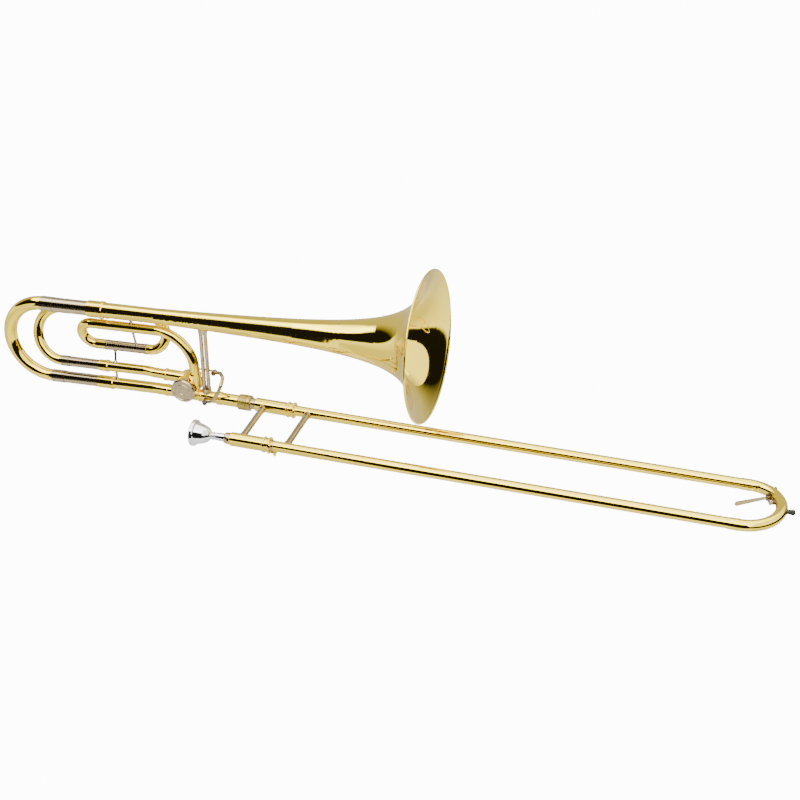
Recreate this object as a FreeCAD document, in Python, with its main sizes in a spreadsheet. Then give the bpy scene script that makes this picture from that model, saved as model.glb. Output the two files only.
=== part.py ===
"""Tenor trombone with a closed-wrap F attachment, as a parametric FreeCAD document.

The row frame: +X runs along the hand slide towards its bow, +Z points from the slide up to the bell,
and -Y points to the mouthpiece side. The origin is on the neckpipe axis, at the bell end of the lock nut.
The bell section is tilted a little about Y, so its pieces sit in a bell frame of their own: the axial
value is counted from the bell's mouth and is negative towards the player.
"""

import FreeCAD, Part
import math
import os
import re
import Sketcher

V = FreeCAD.Vector
doc = FreeCAD.newDocument("Trombone")
dims = doc.addObject("Spreadsheet::Sheet", "Dims")

# ---- driving dimensions, millimetres and degrees ------------------------------------------------
SIZES = [
    # bell
    ("bell_diameter", 216, "over the rolled rim"),
    ("bell_length", 496, "mouth plane to the small end"),
    ("bell_wall", 0.8, "sheet thickness"),
    ("upper_leg_radius", 10.1, "inner leg of the main slide, bell side"),
    ("bell_tail_radius", "=upper_leg_radius + 1.4", "outside of the small end"),
    ("rim_wire_radius", 1.7, "rolled rim over its wire"),
    ("mouth_ratio", "=(bell_diameter / 2 - rim_wire_radius) / bell_tail_radius", "mouth to small end"),
    ("horn_power", 0.708, "flare power in the horn formula"),
    ("flare_length", 409.4, "mouth plane to the end of the flare"),
    ("horn_offset", "=flare_length / (mouth_ratio ^ (1 / horn_power) - 1)", "axial offset in the horn formula"),
    ("bell_rim_x", 286.7, "mouth centre along the slide"),
    ("bell_rim_z", 139.6, "mouth centre above the slide"),
    ("bell_tilt", 2.4, "bell axis against the slide axis"),
    ("tilt_sin", "=sin(bell_tilt * 1deg)", "sine of the tilt"),
    ("tilt_cos", "=cos(bell_tilt * 1deg)", "cosine of the tilt"),
    ("leg_spacing", 122, "bell axis to gooseneck axis"),
    # fits
    ("slide_clearance", 0.05, "radial clearance of every telescoping fit"),
    ("seat_gap", 0.3, "axial gap between a slide and what it closes on"),
    ("tube_wall", 0.6, "wall of bell section tubing"),
    ("ferrule_wall", 0.9, "wall of a ferrule"),
    ("ferrule_ring", 0.7, "how far a ferrule's ring stands out"),
    ("ring_width", 3, "width of a ferrule's ring"),
    ("ferrule_overlap", 5, "how far a tube reaches into its ferrule"),
    # main tuning slide
    ("crook_back", 590.4, "mouth plane to the crook's centre"),
    ("sleeve_back", 570, "mouth plane to the open ends of the main sleeves"),
    ("main_ferrule_length", 24, "ferrules on the bell side"),
    ("neckpipe_radius", 8.6, "outside of gooseneck and neckpipe"),
    ("lower_leg_radius", "=neckpipe_radius - 0.35", "inner leg, gooseneck side"),
    ("crook_upper_radius", "=upper_leg_radius + 0.4", "crook, bell side"),
    ("crook_lower_radius", "=lower_leg_radius + 0.65", "crook, gooseneck side"),
    ("main_leg_length", 56, "inner legs beyond the crook's ferrules"),
    # F attachment
    ("f_radius", 7.6, "outside of the F tubing"),
    ("f_leg_radius", 7.0, "inner legs of the F tuning slide"),
    ("f_top_drop", 24.1, "bell axis down to the upper F tube"),
    ("f_low_drop", 62.4, "bell axis down to the lower F tube"),
    ("f_low_back", 8, "lower F tube behind the bell plane"),
    ("f_rear_drop", 17, "bell axis down to the rear F leg"),
    ("f_rear_back", 22, "rear F leg behind the bell plane"),
    ("f_return_drop", 93.9, "bell axis down to the return leg"),
    ("f_curve_radius", 54, "large bend above the valve"),
    ("f_curve_end", 437, "mouth plane to the joint in the upper F tube"),
    ("f_bow_back", 514, "mouth plane to the small bow's centre"),
    ("f_bow_end", 499, "mouth plane to the end of the small bow"),
    ("f_front_back", 428, "mouth plane to the front bow's centre"),
    ("f_crook_back", 571, "mouth plane to the F crook's centre"),
    ("f_sleeve_back", 559, "mouth plane to the open ends of the F sleeves"),
    ("f_sleeve_length", 58, "length of the F sleeves"),
    ("f_ferrule_length", 14, "ferrules on the F sleeves"),
    ("f_leg_length", 48, "F inner legs beyond their ferrules"),
    # valve
    ("valve_x", -80.6, "valve axis along the slide"),
    ("port_offset", 13.2, "valve axis to the axis of each port's tube"),
    ("passage_offset", 10.9, "valve axis to the axis of a rotor passage"),
    ("passage_radius", 6.0, "rotor passage"),
    ("rotor_radius", 17.1, "rotor body"),
    ("casing_wall", 1.3, "wall of the casing"),
    ("rotor_half", 11.8, "half the length of the rotor body"),
    ("casing_half", 13.2, "half the length of the casing"),
    ("bearing_thickness", 2.6, "front and rear bearing plates"),
    ("cap_depth", 2.6, "how far the cap stands past its plate"),
    ("spindle_radius", 3.2, "rotor spindle"),
    ("knuckle_radius", "=neckpipe_radius + 0.1", "outside of the knuckles"),
    ("knuckle_bore", "=neckpipe_radius - 1.3", "bore of the knuckles"),
    ("knuckle_back", 33.4, "reach of the knuckles on the player's side"),
    ("knuckle_front", 23, "reach of the other knuckles"),
    ("stop_arm_thickness", 2.6, "stop arm"),
    ("crank_radius", 9, "valve axis to the crank pin"),
    ("crank_angle", 125, "crank pin at rest, from +X towards +Z"),
    ("crank_pin_radius", 1.2, "crank pin"),
    ("nose_reach", 14, "valve axis to the tip of the stop nose"),
    ("nose_half", 2.4, "half the width of the stop nose"),
    ("screw_height", 1.2, "head of the stop arm's screw"),
    ("bumper_radius", 2.3, "stop bumpers"),
    ("bumper_circle", 12.2, "valve axis to the stop bumpers"),
    ("bumper_gap", 0.2, "bumper to nose at rest"),
    # neckpipe and lock
    ("receiver_start", -28, "where the receiver begins"),
    ("receiver_radius", "=neckpipe_radius + 0.7", "plain part of the receiver"),
    ("thread_radius", 9.9, "threaded part of the receiver"),
    ("nut_radius", 11.4, "outside of the lock nut"),
    ("nut_length", 18.8, "length of the lock nut"),
    ("nut_knurl_end", 12.6, "end of the lock nut's knurled part"),
    ("tenon_small", 7.9, "tenon at its tip"),
    ("tenon_large", 8.4, "tenon at its shoulder"),
    ("tenon_start", -20, "tip of the tenon"),
    ("tenon_seat", 13.4, "where the tenon's shoulder stands"),
    ("shoulder_width", 2.6, "tenon shoulder"),
    ("shoulder_radius", 10.2, "tenon shoulder"),
    # slide
    ("slide_spacing", 96.2, "between the two slide axes"),
    ("slide_bore", 6.95, "radius of the inner tubes' bore"),
    ("inner_wall", 0.25, "wall of the inner tubes"),
    ("stocking_height", 0.2, "stocking above the inner tube"),
    ("stocking_length", 110, "stocking"),
    ("outer_wall", 0.35, "wall of the outer tubes"),
    ("barrel_start", 26, "cork barrels begin"),
    ("barrel_end", 77, "cork barrels end"),
    ("barrel_radius", 10.1, "outside of the cork barrels"),
    ("barrel_wall", 1.0, "wall of the cork barrels"),
    ("barrel_plug", 6, "closed end of a cork barrel"),
    ("cork_length", 6, "cork washer in a barrel"),
    ("end_ring_length", 9.4, "ring at the end of a barrel"),
    ("end_ring_radius", 12.1, "ring at the end of a barrel"),
    ("bow_x", 742.2, "bow's centre along the slide"),
    ("inner_tube_end", 706, "free ends of the inner tubes"),
    ("bow_radius", 8.1, "outside of the bow's tube"),
    ("bow_ferrule", 14, "ferrules on the bow"),
    ("inner_brace_x", 39.5, "brace between the cork barrels"),
    ("outer_brace_x", 107.3, "brace between the outer tubes"),
    ("brace_radius", 4.7, "slide braces"),
    ("socket_radius", 5.6, "brace sockets"),
    ("socket_length", 3, "brace sockets"),
    # mouthpiece and leadpipe
    ("mouthpiece_rim_x", -33, "rim face along the slide"),
    ("mouthpiece_rim_radius", 19.2, "outside of the rim"),
    ("shank_radius", 6.15, "shank where it enters the receiver"),
    ("shank_tip_radius", 5.4, "shank at its tip"),
    ("shank_depth", 26, "how deep the shank sits"),
    ("mouth_receiver_x", 17.5, "mouth of the mouthpiece receiver"),
    ("leadpipe_length", 200, "leadpipe"),
    # bell brace
    ("bell_brace_x", -50, "bell brace along the slide"),
    ("bell_brace_radius", 3, "each post of the bell brace"),
    ("bell_brace_half", 3.5, "middle of the bell brace to each post's axis"),
    # trigger
    ("pivot_x", -47, "trigger pivot along the slide"),
    ("pivot_screw_radius", 2.0, "shank of the pivot screw"),
    ("hub_radius", 3.8, "trigger hub"),
    ("hub_length", 8, "trigger hub"),
    ("hub_gap", 0.8, "neckpipe surface to the hub"),
    ("lever_radius", 2.8, "trigger lever rod"),
    ("link_radius", 1.4, "link rod"),
    ("link_pin_x", -45, "lever end of the link along the slide"),
    ("link_pin_z", 31, "lever end of the link above the slide"),
    # water key, bumper
    ("key_angle", 25, "water key nipple around the bow, from +X towards +Y"),
    ("key_pivot_angle", 45, "water key pivot around the bow"),
    ("tip_radius", 4.2, "rubber tip"),
    ("tip_length", 9.4, "rubber tip"),
]
for row, (alias, value, words) in enumerate(SIZES, start=1):
    dims.set(f"A{row}", alias)
    dims.set(f"B{row}", str(value))
    dims.set(f"C{row}", words)
    dims.setAlias(f"B{row}", alias)
doc.recompute()
NAMES = {alias for alias, _, _ in SIZES}
nodes = []


def full(text):
    """An expression in bare names, written with the sheet's name before each of them."""
    return re.sub(r"[a-z][a-z0-9_]*", lambda m: f"Dims.{m[0]}" if m[0] in NAMES else m[0], text)


def num(text):
    """The present value of an expression in bare names."""
    return float(dims.evalExpression(full(text)))


def node(obj):
    """Mark an object as one of the sub-parts that are written out."""
    nodes.append(obj)
    return obj


# ---- places: each returns the placement expressions for one axis --------------------------------
def on_bell(drop="0", back="0"):
    """An axis parallel to the bell's, a drop below it and a distance behind the bell plane."""
    return {
        "Base.x": f"bell_rim_x + ({drop}) * tilt_sin",
        "Base.y": back,
        "Base.z": f"bell_rim_z - ({drop}) * tilt_cos",
        "axis": V(0, -1, 0),
        "Rotation.Angle": "bell_tilt",
    }


def along_x(y="0", z="0"):
    """An axis parallel to the slide."""
    return {"Base.x": "0", "Base.y": y, "Base.z": z, "axis": V(0, 0, 1), "Rotation.Angle": "0"}


def along_y(x, z):
    """An axis square to the bell plane; axial values grow away from the mouthpiece side."""
    return {"Base.x": x, "Base.y": "0", "Base.z": z, "axis": V(0, 0, 1), "Rotation.Angle": "90"}


VALVE = along_y("valve_x", "port_offset")
MOUTH_SIDE = along_x("-slide_spacing")
BELL_SIDE = along_x()


def put(obj, place):
    """Bind an object's placement to the sheet."""
    obj.Placement = FreeCAD.Placement(V(0, 0, 0), FreeCAD.Rotation(place["axis"], 1))
    for key in ("Base.x", "Base.y", "Base.z", "Rotation.Angle"):
        obj.setExpression(f"Placement.{key}", full(place[key]))
    return obj


def turned(label, profile, place):
    """A body turned about its own X axis from a closed outline of (axial, radial) expressions."""
    body = doc.addObject("PartDesign::Body", label)
    base = next(f for f in body.Origin.OriginFeatures if f.Role == "XY_Plane")
    sketch = body.newObject("Sketcher::SketchObject", f"{label}_outline")
    sketch.AttachmentSupport = [(base, "")]
    sketch.MapMode = "FlatFace"
    points = [V(num(a), num(r), 0) for a, r in profile]
    count = len(points)
    lines = [Part.LineSegment(points[i], points[(i + 1) % count]) for i in range(count)]
    sketch.addGeometry(lines, False)
    sketch.addConstraint([Sketcher.Constraint("Coincident", i, 2, (i + 1) % count, 1) for i in range(count)])
    for i, (axial, radial) in enumerate(profile):
        for kind, text, value in (("DistanceX", axial, points[i].x), ("DistanceY", radial, points[i].y)):
            index = sketch.addConstraint(Sketcher.Constraint(kind, -1, 1, i, 1, value))
            sketch.setExpression(f"Constraints[{index}]", full(text))
    turn = body.newObject("PartDesign::Revolution", f"{label}_turn")
    turn.Profile = sketch
    turn.ReferenceAxis = (sketch, ["H_Axis"])
    turn.Angle = 360
    return put(body, place)


def tube(label, start, end, inner, outer, place):
    """A plain tube between two axial expressions."""
    return turned(label, [(start, inner), (end, inner), (end, outer), (start, outer)], place)


def combine(kind, label, *objects):
    """A Part boolean of finished objects."""
    result = doc.addObject(kind, label)
    if kind == "Part::Cut":
        result.Base, result.Tool = objects
    else:
        result.Shapes = list(objects)
    return result


def group(label, *objects):
    """Separate solids that share one node."""
    compound = doc.addObject("Part::Compound", label)
    compound.Links = list(objects)
    return compound


def made(label, shape):
    """A sub-part whose shape is worked out with Part's own functions."""
    feature = doc.addObject("Part::Feature", label)
    feature.Shape = shape
    return feature


# ---- bent tubing --------------------------------------------------------------------------------
def bell_point(back, drop=0.0, behind=0.0):
    """A point of the bell frame, in the row frame; back is counted from the mouth to the player."""
    s, c = num("tilt_sin"), num("tilt_cos")
    return V(num("bell_rim_x") - back * c + drop * s, behind, num("bell_rim_z") - back * s - drop * c)


def ring_face(centre, normal, outer, inner):
    """A flat ring, or a disc when there is no inner radius."""
    wires = [Part.Wire(Part.makeCircle(radius, centre, normal)) for radius in (outer, inner) if radius]
    return Part.makeFace(wires, "Part::FaceMakerBullseye")


def bent(points, bends, outer, inner=0.0):
    """Tubing of one section along straight runs joined by tangent arcs, as one solid."""
    pieces = []
    here = points[0]
    for i in range(1, len(points)):
        if (points[i] - here).Length < 1e-6:
            break
        ahead = (points[i] - here).normalize()
        if i == len(points) - 1:
            run = points[i]
        else:
            leave = (points[i + 1] - points[i]).normalize()
            turn = ahead.getAngle(leave)
            reach = bends[i - 1] * math.tan(turn / 2)
            run = points[i] - ahead * reach
        length = (run - here).dot(ahead)
        if length > 1e-6:
            pieces.append(ring_face(here, ahead, outer, inner).extrude(ahead * length))
        if i < len(points) - 1:
            axis = ahead.cross(leave).normalize()
            centre = run + axis.cross(ahead) * bends[i - 1]
            pieces.append(ring_face(run, ahead, outer, inner).revolve(centre, axis, math.degrees(turn)))
            here = points[i] + leave * reach
    solid = pieces[0].multiFuse(pieces[1:]).removeSplitter() if len(pieces) > 1 else pieces[0]
    if len(solid.Solids) != 1:
        raise RuntimeError("a bent tube came out in several solids")
    return solid.Solids[0]


def half_turn(first, second, back):
    """The two corners of a half turn between two parallel legs, and its radius."""
    radius = (second - first).Length / 2
    ahead = (bell_point(back + radius) - bell_point(back)).normalize()
    return [first + ahead * radius, second + ahead * radius], radius


# ---- bell ---------------------------------------------------------------------------------------
BAND = 3


def horn_radius(back):
    """Outside radius of the bell at a distance behind its mouth."""
    mouth = num("bell_diameter / 2 - rim_wire_radius")
    offset = num("horn_offset")
    return max(mouth * (offset / (offset + back)) ** num("horn_power"), num("bell_tail_radius"))


def bell_shape():
    """The bell's sheet: a flare from the horn formula, offset inwards by the wall, and a straight tail."""
    flare, length, wall = num("flare_length"), num("bell_length"), num("bell_wall")
    stations, crowding = 24, 2.6
    backs = [flare * (1 - i / stations) ** crowding for i in range(stations + 1)]
    outside = [V(-back, horn_radius(back), 0) for back in backs]
    inside = []
    for back, point in zip(backs, outside):
        step = min(0.01, max(back, 0.001))
        slope = (horn_radius(max(back - step, 0)) - horn_radius(back)) / step
        inside.append(point + V(slope, -1, 0).normalize() * wall)
    inside[0] = V(outside[0].x, outside[0].y - wall, 0)
    edges = []
    for line in (outside, inside):
        curve = Part.BSplineCurve()
        curve.interpolate(line)
        knots = [curve.parameter(point) for point in line[::BAND]]
        edges += [curve.toShape(a, b) for a, b in zip(knots, knots[1:])]
    for line in (outside, inside):
        edges.append(Part.makeLine(line[0], V(-length, line[0].y, 0)))
    edges.append(Part.makeLine(V(-length, outside[0].y, 0), V(-length, inside[0].y, 0)))
    edges.append(Part.makeLine(outside[-1], inside[-1]))
    face = Part.Face(Part.Wire(Part.__sortEdges__(edges)))
    solid = face.revolve(V(0, 0, 0), V(1, 0, 0), 360)
    if solid.Volume < 0:
        solid.reverse()
    return solid


bell = node(put(made("bell", bell_shape()), on_bell()))
rim = doc.addObject("Part::Torus", "rim_round")
rim.setExpression("Radius1", full("bell_diameter / 2 - rim_wire_radius"))
rim.setExpression("Radius2", full("rim_wire_radius"))
put(rim, {**on_bell(), "axis": V(0, 1, 0), "Rotation.Angle": "90 - bell_tilt"})
node(combine("Part::Cut", "bell_rim_wire", rim, bell))

# ---- main tuning slide --------------------------------------------------------------------------
UPPER, LOWER = on_bell(), on_bell("leg_spacing")


def sleeve_set(prefix, leg, place, open_back, length, ferrule_length, tube_radius):
    """An outer sleeve and the ferrule that joins it to the tubing behind it."""
    bore = f"({leg} + slide_clearance)"
    outer = f"({leg} + slide_clearance + tube_wall)"
    close = f"(-{open_back} + {length})"
    sleeve = tube(f"{prefix}_sleeve", f"-{open_back}", close, bore, outer, place)
    far = f"({close} + ferrule_overlap)"
    near = f"({far} - {ferrule_length})"
    skin = f"({tube_radius} + ferrule_wall)"
    ferrule = turned(
        f"{prefix}_ferrule",
        [
            (near, outer),
            (close, outer),
            (close, tube_radius),
            (far, tube_radius),
            (far, f"{skin} + ferrule_ring"),
            (f"{far} - ring_width", f"{skin} + ferrule_ring"),
            (f"{far} - ring_width", skin),
            (near, skin),
        ],
        place,
    )
    return sleeve, ferrule


upper_set = sleeve_set(
    "bell_side", "upper_leg_radius", UPPER, "sleeve_back", "(sleeve_back - bell_length)",
    "main_ferrule_length", "bell_tail_radius",
)
lower_set = sleeve_set(
    "gooseneck_side", "lower_leg_radius", LOWER, "sleeve_back", "(sleeve_back - bell_length)",
    "main_ferrule_length", "neckpipe_radius",
)
node(group("main_slide_sleeves", upper_set[0], lower_set[0]))
node(group("main_sleeve_ferrules", upper_set[1], lower_set[1]))


def slide_leg(prefix, leg, wall, place, crook_end, open_back, length, crook_radius):
    """An inner leg of a tuning slide, and the ferrule that joins it to the crook."""
    seat = f"(-{open_back} - seat_gap)"
    inner = tube(f"{prefix}_leg", f"-{crook_end}", f"{seat} + {length}", f"{leg} - {wall}", leg, place)
    skin = f"({crook_radius} + {wall})"
    ferrule = turned(
        f"{prefix}_crook_ferrule",
        [
            (f"-{crook_end} - ferrule_overlap", crook_radius),
            (f"-{crook_end}", crook_radius),
            (f"-{crook_end}", leg),
            (seat, leg),
            (seat, skin),
            (f"-{crook_end} - ferrule_overlap", skin),
        ],
        place,
    )
    return inner, ferrule


CROOK_END = "(crook_back - ferrule_overlap)"
upper_leg = slide_leg("bell_side", "upper_leg_radius", "tube_wall", UPPER, CROOK_END, "sleeve_back",
                      "main_leg_length", "crook_upper_radius")
lower_leg = slide_leg("gooseneck_side", "lower_leg_radius", "tube_wall", LOWER, CROOK_END, "sleeve_back",
                      "main_leg_length", "crook_lower_radius")


def crook_shape():
    """The main crook: its section shrinks evenly around the half turn, with a short straight end each side."""
    spacing, wall = num("leg_spacing"), num("tube_wall")
    back, stations = num("crook_back"), 8
    large, small = num("crook_upper_radius"), num("crook_lower_radius")
    ahead = (bell_point(1) - bell_point(0)).normalize()
    up = (bell_point(0) - bell_point(0, 1)).normalize()
    centre = bell_point(back, spacing / 2)
    shells = []
    for inset in (0, wall):
        rings = []
        for i in range(stations + 1):
            share = i / stations
            angle = math.pi * share
            out = up * math.cos(angle) + ahead * math.sin(angle)
            along = ahead * math.cos(angle) - up * math.sin(angle)
            radius = large + (small - large) * share - inset
            rings.append(Part.Wire(Part.makeCircle(radius, centre + out * (spacing / 2), along)))
        shells.append(Part.makeLoft(rings, True, False))
    bow = shells[0].cut(shells[1])
    straight = num("ferrule_overlap")
    ends = []
    for drop, radius in ((0, large), (spacing, small)):
        start = bell_point(back, drop)
        ends.append(ring_face(start, ahead, radius, radius - wall).extrude(ahead * -straight))
    return bow.multiFuse(ends).Solids[0]


node(made("main_crook", crook_shape()))
node(group("main_crook_ferrules", upper_leg[1], lower_leg[1]))
node(group("main_slide_legs", upper_leg[0], lower_leg[0]))

# ---- gooseneck, valve, neckpipe -----------------------------------------------------------------
gooseneck_bore = num("neckpipe_radius - tube_wall")
kink_back = (num("bell_rim_z") - num("leg_spacing") * num("tilt_cos")) / num("tilt_sin")
kink = bell_point(kink_back, num("leg_spacing"))
goose_end = V(num("valve_x - knuckle_back"), 0, 0)
KINK_BEND = 220
gooseneck = bent(
    [bell_point(num("bell_length"), num("leg_spacing")), kink, goose_end],
    [KINK_BEND], num("neckpipe_radius"), gooseneck_bore,
)
node(made("gooseneck", gooseneck))

CASING = "(rotor_radius + slide_clearance + casing_wall)"
casing_bore = "rotor_radius + slide_clearance"
casing_blank = tube("casing_blank", "-casing_half", "casing_half", casing_bore, CASING, VALVE)


def drill(label, radius, length, base, axis, angle):
    """A drill or rod as a Part cylinder bound to the sheet."""
    tool = doc.addObject("Part::Cylinder", label)
    tool.setExpression("Radius", full(radius))
    tool.setExpression("Height", full(length))
    place = {"Base.x": base[0], "Base.y": base[1], "Base.z": base[2], "axis": axis, "Rotation.Angle": angle}
    return put(tool, place)


ACROSS = V(0, 1, 0)
through = "2 * (rotor_radius + casing_wall) + 2"
straight_port = drill(
    "straight_port", "passage_radius", through,
    (f"valve_x - ({through}) / 2", "0", "port_offset - passage_offset"), ACROSS, "90",
)
return_port = drill(
    "return_port", "passage_radius", f"({through}) / 2",
    (f"valve_x - ({through}) / 2", "0", "port_offset + passage_offset"), ACROSS, "90",
)
rising_port = drill(
    "rising_port", "passage_radius", f"({through}) / 2",
    ("valve_x + passage_offset", "0", "port_offset"), ACROSS, "0",
)
ports = combine("Part::MultiFuse", "ports", straight_port, return_port, rising_port)
node(combine("Part::Cut", "valve_casing", casing_blank, ports))


def knuckle(reach):
    """The knuckle below and beside the valve axis, on the player's side, about the valve's own centre."""
    offset, casing = num("port_offset"), num(CASING)
    clear = 2.5
    outer = Part.makeCylinder(num("knuckle_radius"), reach - clear, V(-reach, 0, -offset), V(1, 0, 0))
    bore_end = casing * 0.8
    bore = Part.makeCylinder(num("knuckle_bore"), reach - bore_end, V(-reach, 0, -offset), V(1, 0, 0))
    hole = Part.makeCylinder(num("passage_radius"), reach, V(-reach, 0, -num("passage_offset")), V(1, 0, 0))
    hole = hole.common(Part.makeCylinder(num("knuckle_bore"), reach, V(-reach, 0, -offset), V(1, 0, 0)))
    body = Part.makeCylinder(casing, 4 * casing, V(0, -2 * casing, 0), V(0, 1, 0))
    lip = ring_face(V(-reach, 0, -offset), V(1, 0, 0), num("knuckle_radius + ferrule_ring"), num("knuckle_bore"))
    solid = outer.fuse(lip.extrude(V(num("ring_width"), 0, 0))).cut(bore).cut(hole).cut(body)
    return max(solid.Solids, key=lambda s: s.Volume)


centre = V(num("valve_x"), 0, num("port_offset"))
lower_left = knuckle(num("knuckle_back"))
upper_left = lower_left.mirror(V(0, 0, 0), V(0, 0, 1))
lower_right = knuckle(num("knuckle_front")).mirror(V(0, 0, 0), V(1, 0, 0))
upper_right = lower_right.copy()
upper_right.rotate(V(0, 0, 0), V(0, -1, 0), 90)
four = [lower_left, upper_left, lower_right, upper_right]
for piece in four:
    piece.translate(centre)
node(made("valve_knuckles", Part.makeCompound(four)))

# rotor with its spindle; two straight passages, one each side of the axis
spindle_front = "(casing_half + bearing_thickness - 0.4)"
arm_start = "(casing_half + bearing_thickness + 0.4)"
arm_end = f"({arm_start} + stop_arm_thickness)"
rotor_blank = turned(
    "rotor_blank",
    [
        (f"-{spindle_front}", "0"),
        (f"-{spindle_front}", "spindle_radius"),
        ("-rotor_half", "spindle_radius"),
        ("-rotor_half", "rotor_radius"),
        ("rotor_half", "rotor_radius"),
        ("rotor_half", "spindle_radius"),
        (arm_end, "spindle_radius"),
        (arm_end, "0"),
    ],
    VALVE,
)
channels = [
    drill(
        f"channel_{side}", "passage_radius", through,
        (f"valve_x - ({through}) / 2", "0", f"port_offset {sign} passage_offset"), ACROSS, "90",
    )
    for side, sign in (("low", "-"), ("high", "+"))
]
node(combine("Part::Cut", "rotor", rotor_blank, combine("Part::MultiFuse", "channels", *channels)))

bearing_bore = "spindle_radius + slide_clearance"
plate_face = "(casing_half + bearing_thickness)"
node(
    turned(
        "valve_front_bearing",
        [
            ("-casing_half + 1.1", bearing_bore),
            ("-casing_half + 1.1", "rotor_radius - 0.4"),
            ("-casing_half", "rotor_radius - 0.4"),
            ("-casing_half", "rotor_radius + 0.6"),
            (f"-{plate_face}", "rotor_radius + 0.6"),
            (f"-{plate_face}", bearing_bore),
        ],
        VALVE,
    )
)
node(
    turned(
        "valve_rear_bearing",
        [
            ("casing_half - 1.1", bearing_bore),
            ("casing_half - 1.1", "rotor_radius - 0.4"),
            ("casing_half", "rotor_radius - 0.4"),
            ("casing_half", CASING),
            (plate_face, CASING),
            (plate_face, bearing_bore),
        ],
        VALVE,
    )
)
cap_front = f"({plate_face} + cap_depth)"
cap_bore = "(rotor_radius + 0.6)"
node(
    turned(
        "valve_cap",
        [
            ("-casing_half", cap_bore),
            (f"-{plate_face} - 0.3", cap_bore),
            (f"-{plate_face} - 0.3", "0"),
            (f"-{cap_front} + 0.6", "0"),
            (f"-{cap_front} + 0.6", "rotor_radius * 0.32"),
            (f"-{cap_front}", "rotor_radius * 0.36"),
            (f"-{cap_front}", "rotor_radius * 0.62"),
            (f"-{cap_front} + 0.6", "rotor_radius * 0.66"),
            (f"-{cap_front} + 0.6", "rotor_radius * 0.82"),
            (f"-{cap_front}", "rotor_radius * 0.86"),
            (f"-{cap_front}", "rotor_radius - 0.2"),
            (f"-{cap_front} + 1.4", CASING),
            ("-casing_half", CASING),
        ],
        VALVE,
    )
)


def valve_polar(radius, degrees, y):
    """A point about the valve axis, the angle counted from +X towards +Z."""
    angle = math.radians(degrees)
    return V(num("valve_x") + radius * math.cos(angle), y, num("port_offset") + radius * math.sin(angle))


def stop_arm_shape():
    """Hub, crank and stop nose in one plate, with the crank pin standing out of it."""
    start, thick = num(arm_start), num("stop_arm_thickness")
    angle, crank = num("crank_angle"), num("crank_radius")
    away = V(0, thick, 0)
    hub = Part.makeCylinder(num("spindle_radius + 2.2"), thick, valve_polar(0, 0, start), away)
    plates = []
    for reach, facing in ((crank, angle), (num("nose_reach"), angle + 180)):
        half = num("nose_half")
        plate = Part.makeBox(reach, thick, 2 * half, V(0, 0, -half))
        plate.rotate(V(0, 0, 0), V(0, -1, 0), facing)
        plate.translate(valve_polar(0, 0, start))
        plates.append(plate)
    boss = Part.makeCylinder(num("nose_half"), thick, valve_polar(crank, angle, start), away)
    pin_length = thick + num("screw_height + seat_gap + 2 * link_radius + 1.6")
    pin = Part.makeCylinder(num("crank_pin_radius"), pin_length, valve_polar(crank, angle, start), away)
    hole = Part.makeCylinder(num("spindle_radius"), thick, valve_polar(0, 0, start), away)
    return hub.multiFuse(plates + [boss, pin]).cut(hole).removeSplitter().Solids[0]


node(made("stop_arm", stop_arm_shape()))
node(
    turned(
        "stop_arm_screw",
        [
            (arm_end, "0"), (arm_end, "spindle_radius + 0.9"), (f"{arm_end} + 0.7", "spindle_radius + 0.9"),
            (f"{arm_end} + screw_height", "spindle_radius"), (f"{arm_end} + screw_height", "0"),
        ],
        VALVE,
    )
)

swing = 90
spread = math.degrees(num("(nose_half + bumper_radius + bumper_gap) / bumper_circle"))
bumpers = []
for facing in (num("crank_angle") + 180 + spread, num("crank_angle") + 180 - swing - spread):
    post = valve_polar(num("bumper_circle"), facing, num(plate_face))
    bumpers.append(Part.makeCylinder(num("bumper_radius"), num("stop_arm_thickness + 1"), post, V(0, 1, 0)))
node(made("stop_bumpers", Part.makeCompound(bumpers)))

NECK_START = "(valve_x + knuckle_front)"
neck_bore = "(neckpipe_radius - tube_wall)"
node(
    turned(
        "neckpipe",
        [
            (NECK_START, neck_bore), ("receiver_start", neck_bore), ("receiver_start", "neckpipe_radius"),
            (NECK_START, "neckpipe_radius"),
        ],
        BELL_SIDE,
    )
)


def taper(at):
    """Radius of the tenon's taper at an axial expression."""
    return f"(tenon_small + (tenon_large - tenon_small) * (({at}) - tenon_start) / (tenon_seat - tenon_start))"


thread_end = "(tenon_seat - seat_gap)"
node(
    turned(
        "bell_receiver",
        [
            ("receiver_start - ferrule_overlap", "neckpipe_radius"),
            ("receiver_start", "neckpipe_radius"),
            ("receiver_start", neck_bore),
            ("tenon_start - seat_gap", neck_bore),
            ("tenon_start - seat_gap", f"{taper('tenon_start - seat_gap')} + slide_clearance"),
            (thread_end, f"{taper(thread_end)} + slide_clearance"),
            (thread_end, "thread_radius"),
            ("0.6", "thread_radius"),
            ("0", "receiver_radius"),
            ("receiver_start + 1", "receiver_radius"),
            ("receiver_start + 1", "receiver_radius + ferrule_ring"),
            ("receiver_start - ferrule_overlap", "receiver_radius + ferrule_ring"),
        ],
        BELL_SIDE,
    )
)

# ---- bell brace ---------------------------------------------------------------------------------
brace_low = num("neckpipe_radius")
brace_back = num("bell_rim_x - bell_brace_x")
brace_axis_z = bell_point(brace_back).z
brace_high = brace_axis_z - horn_radius(brace_back)
BRACE_FOOT = 6
VOID_REACH = 12
bell_void = Part.makeCone(
    horn_radius(brace_back + VOID_REACH), horn_radius(brace_back - VOID_REACH), 2 * VOID_REACH,
    bell_point(brace_back + VOID_REACH), bell_point(0) - bell_point(1),
)
neck_void = Part.makeCylinder(num("neckpipe_radius"), 60, V(num("bell_brace_x") - 30, 0, 0), V(1, 0, 0))


def upright(radius, low, high, aside=0.0):
    """A round post on the bell brace's axis, or a little aside from it."""
    return Part.makeCylinder(radius, high - low, V(num("bell_brace_x") + aside, 0, low))


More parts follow.
